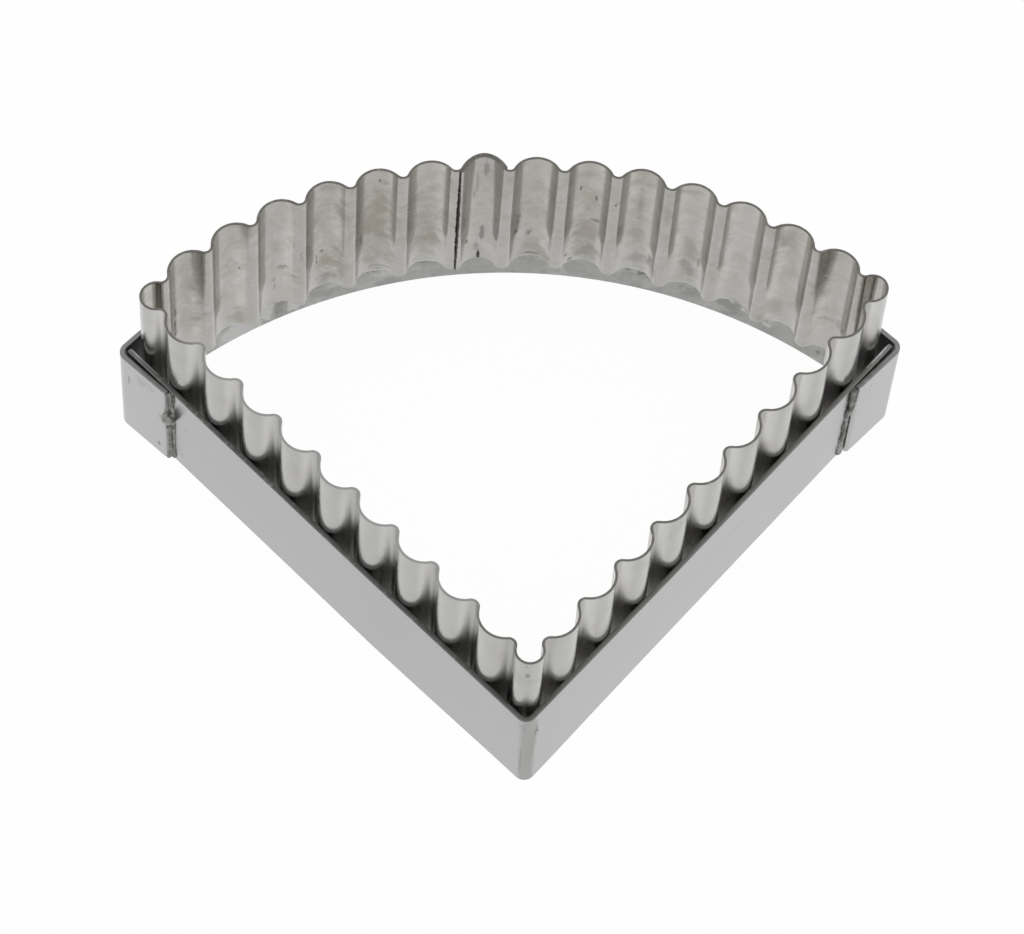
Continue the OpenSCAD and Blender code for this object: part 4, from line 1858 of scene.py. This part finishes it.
def joined(pieces: list[Piece], name: str) -> Piece:
    """Joins the pieces into one object of that name.

    Args:
        pieces: The objects.
        name: Name of the whole.

    Returns:
        The whole.
    """
    deselect()
    for piece in pieces:
        piece.select_set(True)
    bpy.context.view_layer.objects.active = pieces[0]
    if len(pieces) > 1:
        bpy.ops.object.join()
    whole = bpy.context.object
    whole.name = whole.data.name = name
    return whole


@dataclass(frozen=True)
class BeadRun:
    """One upright length of a weld bead: its place beside the tab's heel, and its half sizes at both ends."""

    along: float
    out: float
    low: float
    high: float
    foot: tuple[float, float]
    head: tuple[float, float]


@dataclass(frozen=True)
class Knot:
    """A lump on a bead: its place beside the tab's heel, its half sizes, and its slope towards the apex."""

    along: float
    out: float
    height: float
    length: float
    depth: float
    rise: float
    lean: float = 0.0


@dataclass
class TabWeld:
    """The weld along a tab's free end: one bead on the tab's end face, one on the strip, and a knot.

    Lengths run along the side from the tab's end towards the apex, and out from the strip's face. Side is
    -1 for the left tab and 1 for the right one. Voxel is the mesh size at which the parts melt together.
    """

    plan: CutterPlan
    view: View
    side: int
    node: str
    runs: tuple[BeadRun, ...]
    knots: tuple[Knot, ...]
    shading_and_smears: tuple[Smudge, ...]
    voxel: float = 0.11

    @property
    def name(self) -> str:
        """Name of the finished bead."""
        return f"{'left' if self.side < 0 else 'right'}_bead"

    def build(self) -> Piece:
        """Models the bead and dresses it.

        Returns:
            The finished piece.
        """
        parts = [self._run(run) for run in self.runs] + [self._knot(knot) for knot in self.knots]
        bead = joined(parts, self.name)
        modify(bead, "REMESH", mode="VOXEL", voxel_size=self.voxel * MM)
        ragged(bead, size=1.3, depth=0.16)
        modify(bead, "SMOOTH", factor=0.5, iterations=2)
        smooth(bead, angle=60)
        normal = -self.plan.half if self.side > 0 else 180 + self.plan.half
        wall = FlatWall(self._place(0.0, 0.6, 0.0) / MM, normal, 2.0)
        marks = tuple(smudge.on(wall, self.view) for smudge in self.shading_and_smears)
        BeadFinish(marks=marks).dress(sole_material(bead, f"{bead.name}_metal"))
        return bead

    def _place(self, along: float, out: float, height: float) -> Vector:
        """A place beside the tab's heel, towards the apex and out from the front strip.

        Args:
            along: Distance from the tab's end towards the apex.
            out: Distance out from the strip's face.
            height: Height above the table.

        Returns:
            The place, in metres.
        """
        plan = self.plan
        spot = plan.tab_heel - plan.along * along + plan.outward * out
        return plan.placed(Vector((spot.x * self.side, spot.y)), height)

    @property
    def _turn(self) -> float:
        """Turn about Z that brings X to the direction of the side."""
        return math.radians(90 - self.side * self.plan.half)

    def _run(self, run: BeadRun) -> Piece:
        """One length of the bead, as a rod that is bisected and swollen unevenly.

        Args:
            run: The length's place and sizes.

        Returns:
            The rod.
        """
        deselect()
        middle = self._place(run.along, run.out, (run.low + run.high) / 2)
        bpy.ops.mesh.primitive_cone_add(
            vertices=16, radius1=run.foot[0] * MM, radius2=run.head[0] * MM, depth=(run.high - run.low) * MM,
            location=middle,
        )
        rod = bpy.context.object
        flat = (run.foot[1] / run.foot[0] + run.head[1] / run.head[0]) / 2
        rod.scale = (1.0, flat, 1.0)
        rod.rotation_euler = (0, 0, self._turn)
        settle()
        edit(rod)
        rng = random.Random(int(run.along * 100) + self.side)
        steps = int(run.high - run.low)
        for i in range(1, steps):
            level = run.low + (run.high - run.low) * i / steps
            select_whole()
            bpy.ops.mesh.bisect(plane_co=(0, 0, level * MM), plane_no=(0, 0, 1))
            grow = rng.uniform(0.86, 1.12)
            middle = self._place(run.along, run.out, level)
            bpy.ops.transform.resize(value=(grow, grow, 1.0), center_override=middle)
        leave()
        return rod

    def _knot(self, knot: Knot) -> Piece:
        """One lump, as a stretched ball.

        Args:
            knot: The lump's place and sizes.

        Returns:
            The ball.
        """
        deselect()
        place = self._place(knot.along, knot.out, knot.height)
        bpy.ops.mesh.primitive_uv_sphere_add(segments=20, ring_count=12, radius=MM, location=place)
        ball = bpy.context.object
        ball.scale = (knot.length, knot.depth, knot.rise)
        ball.rotation_euler = (0, math.radians(-knot.lean), self._turn)
        return settle()


# Shapes of the two welds, and the marks on them.
LEFT_RUNS = (
    BeadRun(0.05, 0.5, 0.2, 11.5, (0.36, 0.4), (0.3, 0.38)),
    BeadRun(0.05, 0.5, 13.0, 19.6, (0.28, 0.38), (0.3, 0.42)),
    BeadRun(0.76, 0.05, 0.5, 11.6, (0.42, 0.36), (0.38, 0.32)),
    BeadRun(0.72, 0.05, 12.8, 19.7, (0.34, 0.28), (0.55, 0.3)),
    BeadRun(0.4, 0.1, 0.4, 11.6, (0.2, 0.2), (0.2, 0.2)),
    BeadRun(0.42, 0.0, 12.2, 19.5, (0.24, 0.24), (0.24, 0.22)),
)
LEFT_KNOTS = (
    Knot(0.36, 0.88, 12.7, 1.1, 0.8, 1.3, 40.0),
    Knot(0.95, 0.3, 12.4, 0.4, 0.4, 0.7),
    Knot(0.06, 0.5, 0.7, 0.34, 0.36, 0.5),
    Knot(0.8, 0.05, 1.1, 0.4, 0.4, 0.6),
)
RIGHT_RUNS = (
    BeadRun(0.98, 0.05, 0.3, 5.2, (0.66, 0.44), (0.55, 0.38)),
    BeadRun(0.84, 0.05, 4.6, 13.6, (0.52, 0.36), (0.5, 0.34)),
    BeadRun(0.4, 0.1, 0.3, 13.6, (0.2, 0.2), (0.2, 0.2)),
    BeadRun(0.5, 0.25, 12.0, 19.7, (0.36, 0.34), (0.75, 0.46)),
    BeadRun(0.12, 0.5, 12.2, 19.7, (0.16, 0.24), (0.42, 0.34)),
)
# Marks on the left bead: painted shade in its crevices and about the knot, a painted highlight on the knot's top,
# and darker spots along the bead.
LEFT_BEAD_SHADING_AND_SMEARS = (
    Smudge("shade above the knot", 174, 401, 1.1, 5.2, DARK, 0.7, soft=0.8),
    Smudge("crevice above the knot", 170.6, 402, 0.35, 5.6, PIT, 0.85, soft=0.8),
    Smudge("top of the knot", 165.5, 415, 0.9, 1.4, LIGHT, 0.6, 30.0, soft=0.9),
    Smudge("under the knot", 169, 426, 2.6, 1.6, PIT, 0.8, 25.0, soft=0.8),
    Smudge("brown spot behind the knot", 172.5, 412, 1.0, 1.8, PIT, 0.85, soft=0.8),
    Smudge("behind the knot", 176, 414, 0.8, 2.0, DARK, 0.7, soft=0.8),
    Smudge("crevice below the knot", 171.2, 440, 0.5, 9.5, PIT, 0.85, soft=0.7),
    Smudge("crevice beside the tab's end", 165.6, 440, 0.3, 10.0, DARK, 0.7, soft=0.7),
    Smudge("bead's outer edge", 176.6, 438, 0.3, 7.0, DARK, 0.6, soft=0.8),
    Smudge("bead's foot", 173, 453, 1.2, 1.6, DARK, 0.5, soft=0.9),
)
# Marks on the right bead: painted shade in its two holes and the slanted crevice, with dark smears and the grey of
# the bead itself.
RIGHT_BEAD_SHADING_AND_SMEARS = (
    Smudge("burnt smear under the rim", 853, 399, 3.0, 8.0, PIT, 0.42, ragged=0.5, soft=0.6),
    Smudge("burnt smear's tail", 850.5, 411, 1.6, 3.4, PIT, 0.6, 20.0, soft=0.8),
    Smudge("upper hole", 846, 406.5, 0.5, 1.0, PIT, 0.9),
    Smudge("lower hole", 844, 414, 0.5, 1.0, PIT, 0.9),
    Smudge("slanted crevice", 845, 432, 0.6, 10.0, PIT, 0.6, soft=0.7),
    Smudge("bead's upper end", 846, 414, 1.0, 2.6, DARK, 0.6, soft=0.8),
    Smudge("grey bead", 842, 424, 1.4, 7.0, GREY, 0.6, soft=0.8),
    Smudge("grey lobe", 838, 443, 1.4, 5.0, GREY, 0.6, soft=0.8),
)
RIGHT_KNOTS = (
    Knot(0.3, 0.35, 13.2, 0.4, 0.36, 1.0, 20.0),
    Knot(0.98, 0.05, 1.2, 0.66, 0.44, 0.9),
    Knot(0.86, 0.05, 8.5, 0.56, 0.4, 1.8),
)


@dataclass
class FootSolder:
    """Solder between the band's lower edge and the frame, one uneven fillet under each flute.

    A fillet's middle lies stand_off outside the flute's sheet and below its edge. It starts at the share
    of its size in pinch, and swells or shrinks by the factors in growth, one for each of its steps.
    """

    plan: CutterPlan
    node: str = "foot_solder"
    tube_r: float = 0.42
    sweep: float = 76.0
    stand_off: float = 0.12
    pinch: float = 0.35
    growth: tuple[float, ...] = (1.9, 1.35, 1.1, 1.0, 1.0, 1.0, 1.0, 0.9, 0.75, 0.5)
    seed: int = 5

    def build(self) -> Piece:
        """Models the fillets and dresses them.

        Returns:
            The finished piece.
        """
        plan = self.plan
        rng = random.Random(self.seed)
        fillets = []
        for i in range(1, plan.arc_flutes + 1):
            axis, radius = plan.arc_flute(i)
            fillets.append(self._fillet(axis, radius, 90 - plan.arc_angle(i), rng))
        for i in range(1, plan.side_flutes + 1):
            axis, radius = plan.side_flute(i)
            fillets.append(self._fillet(axis, radius, -plan.half, rng))
            fillets.append(self._fillet(across(axis), radius, 180 + plan.half, rng))
        solder = joined(fillets, "solder_fillets")
        ragged(solder, size=1.4, depth=0.35)
        modify(solder, "SUBSURF", levels=1, render_levels=1)
        smooth(solder, angle=80)
        SolderFinish().dress(sole_material(solder, "solder_metal"))
        return solder

    def _fillet(self, axis: Vector, radius: float, normal: float, rng: random.Random) -> Piece:
        """One fillet: a ring of solder spun along the flute's foot, pinched at both ends.

        Args:
            axis: The flute's bend axis.
            radius: Its bend radius.
            normal: Plan angle of its crest.
            rng: Seeded source of the small differences.

        Returns:
            The fillet.
        """
        plan = self.plan
        sweep = self.sweep * rng.uniform(0.75, 1.1)
        start = normal + sweep / 2 + rng.uniform(-8, 8)
        size = self.tube_r * rng.uniform(0.8, 1.2)
        reach, height, steps = radius + self.stand_off, plan.band_lift - self.stand_off, len(self.growth)
        middle = plan.placed(axis + unit(start) * reach, height)
        deselect()
        bpy.ops.mesh.primitive_circle_add(
            vertices=8, radius=size * MM, fill_type="NGON", location=middle,
            rotation=(math.pi / 2, 0, math.radians(start)),
        )
        fillet = settle()
        edit(fillet, "FACE")
        select_whole()
        bpy.ops.transform.resize(value=(self.pinch,) * 3, center_override=middle)
        turn, centre = math.radians(sweep / steps), plan.placed(axis)
        for i, grow in enumerate(self.growth, 1):
            bpy.ops.mesh.extrude_region_move()
            bpy.ops.transform.rotate(value=turn, orient_axis="Z", center_override=centre)
            here = plan.placed(axis + unit(start - sweep * i / steps) * reach, height)
            bpy.ops.transform.resize(value=(grow,) * 3, center_override=here)
        select_whole()
        bpy.ops.mesh.normals_make_consistent(inside=False)
        leave()
        return fillet


@dataclass(frozen=True)
class BeadFinish:
    """Weld bead: dark, uneven, with brighter crests."""

    colour: Colour = (0.265, 0.262, 0.252)
    crest: Colour = (0.38, 0.377, 0.366)
    pit: Colour = (0.13, 0.122, 0.11)
    marks: tuple[Mark, ...] = ()

    def dress(self, material: bpy.types.Material) -> None:
        """Builds the finish in that material.

        Args:
            material: The material.
        """
        tree = Tree.cleared(material)
        spot = tree.spot()
        crest = StainCloud.place(tree, {"Vector": spot, "Size": 0.7, "Start": 0.45, "Full": 0.6})["Mask"]
        pits = StainCloud.place(tree, {"Vector": spot, "Size": 1.1, "Start": 0.6, "Full": 0.68})["Mask"]
        colour = tree.blend(crest, self.colour, self.crest)
        colour = tree.blend(tree.times(pits, 0.8), colour, self.pit)
        colour, _ = lay_marks(tree, spot, colour, self.marks, edge_noise(tree, spot))
        rough = tree.span(crest, 0.0, 1.0, 0.58, 0.45)
        tree.metal(colour, rough, tree.noise(spot, 1.2, 3.0), 0.6, 0.08)


@dataclass(frozen=True)
class SolderFinish:
    """Soft solder: light and silvery, wiped while it was hot."""

    colour: Colour = (0.53, 0.53, 0.52)
    dull: Colour = (0.34, 0.33, 0.31)

    def dress(self, material: bpy.types.Material) -> None:
        """Builds the finish in that material.

        Args:
            material: The material.
        """
        tree = Tree.cleared(material)
        spot = tree.spot()
        dull = StainCloud.place(tree, {"Vector": spot, "Size": 0.35, "Start": 0.5, "Full": 0.7})["Mask"]
        colour = tree.blend(dull, self.colour, self.dull)
        rough = tree.span(dull, 0.0, 1.0, 0.28, 0.45)
        tree.metal(colour, rough, tree.noise(spot, 0.8, 3.0), 0.6, 0.15)


@dataclass
class Studio:
    """The floor, the light and the camera of the photograph.

    The floor is floor_size metres wide, and by the share in glow it shines plain white to the rays that see
    the background.
    """

    view: View
    floor_size: float = 6.0
    paint: Colour = (0.88, 0.88, 0.88)
    glow: float = 0.97

    def build(self) -> None:
        """Sets up the whole stage."""
        self._floor()
        self._world()
        self._camera()
        bpy.context.scene.view_settings.view_transform = "Standard"

    def _shown(self, tree: Tree) -> Socket:
        """1 for the rays that see the background: from the camera, from metal and through glass.

        Args:
            tree: The floor's tree.

        Returns:
            The number.
        """
        path = tree.add("LightPath").outputs
        seen = tree.maths("MAXIMUM", path["Is Camera Ray"], path["Is Glossy Ray"])
        return tree.maths("MAXIMUM", seen, path["Is Transmission Ray"])

    def _floor(self) -> None:
        """A plain white floor that keeps a faint shadow."""
        deselect()
        bpy.ops.mesh.primitive_plane_add(size=self.floor_size, location=(0, 0, 0))
        floor = bpy.context.object
        floor.name = "floor"
        material = bpy.data.materials.new("floor_white")
        tree = Tree.cleared(material)
        paint = tree.add("BsdfDiffuse", {"Color": (*self.paint, 1)})
        glow = tree.add("Emission", {"Color": (1, 1, 1, 1), "Strength": 1.0})
        share = tree.times(self._shown(tree), self.glow)
        mixed = tree.add("MixShader", {0: share, 1: paint.outputs[0], 2: glow.outputs[0]})
        tree.add("OutputMaterial", {"Surface": mixed.outputs[0]})
        floor.data.materials.append(material)

    def _world(self) -> None:
        """A white room: even light from all sides."""
        world = bpy.data.worlds.new("room")
        bpy.context.scene.world = world
        tree = Tree.cleared(world)
        light = tree.add("Background", {"Color": (1, 1, 1, 1), "Strength": 1.0})
        tree.add("OutputWorld", {"Surface": light.outputs[0]})

    def _camera(self) -> None:
        """The camera at the photograph's viewing angle."""
        view = self.view
        data = bpy.data.cameras.new("camera")
        data.lens, data.sensor_width, data.clip_start = view.lens, view.sensor, 0.01
        camera = bpy.data.objects.new("camera", data)
        bpy.context.scene.collection.objects.link(camera)
        matrix = Matrix(view.axes).transposed().to_4x4()
        matrix.translation = view.eye * MM
        camera.matrix_world = matrix
        bpy.context.scene.camera = camera


def place_piece(piece: Piece, slot: str, *nodes: str) -> None:
    """Rides the piece on the part and hides the nodes it stands for.

    Args:
        piece: The finished piece.
        slot: Material slot of the record; not used.
        nodes: CAD nodes that the piece replaces.
    """
    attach(piece, "root")
    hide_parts(*nodes)
    log.info("%s: %d faces", piece.name, len(piece.data.polygons))


def main() -> None:
    """Builds the cutter and its stage, in order."""
    logging.basicConfig(level=logging.INFO, format="%(name)s: %(message)s")
    plan, view = CutterPlan(), View()
    Studio(view).build()
    assemblies = (
        (FlutedBand(plan, view), "band_sheet"),
        (FrontFrame(plan, view), "frame_sheet"),
        (RearFrame(plan, view), "frame_sheet"),
        (TabWeld(plan, view, -1, "left_tab_weld", LEFT_RUNS, LEFT_KNOTS, LEFT_BEAD_SHADING_AND_SMEARS), "weld_bead"),
        (TabWeld(plan, view, 1, "right_tab_weld", RIGHT_RUNS, RIGHT_KNOTS, RIGHT_BEAD_SHADING_AND_SMEARS), "weld_bead"),
        (FootSolder(plan), "solder"),
    )
    for assembly, slot in assemblies:
        place_piece(assembly.build(), slot, assembly.node)


if __name__ == "__main__":
    main()
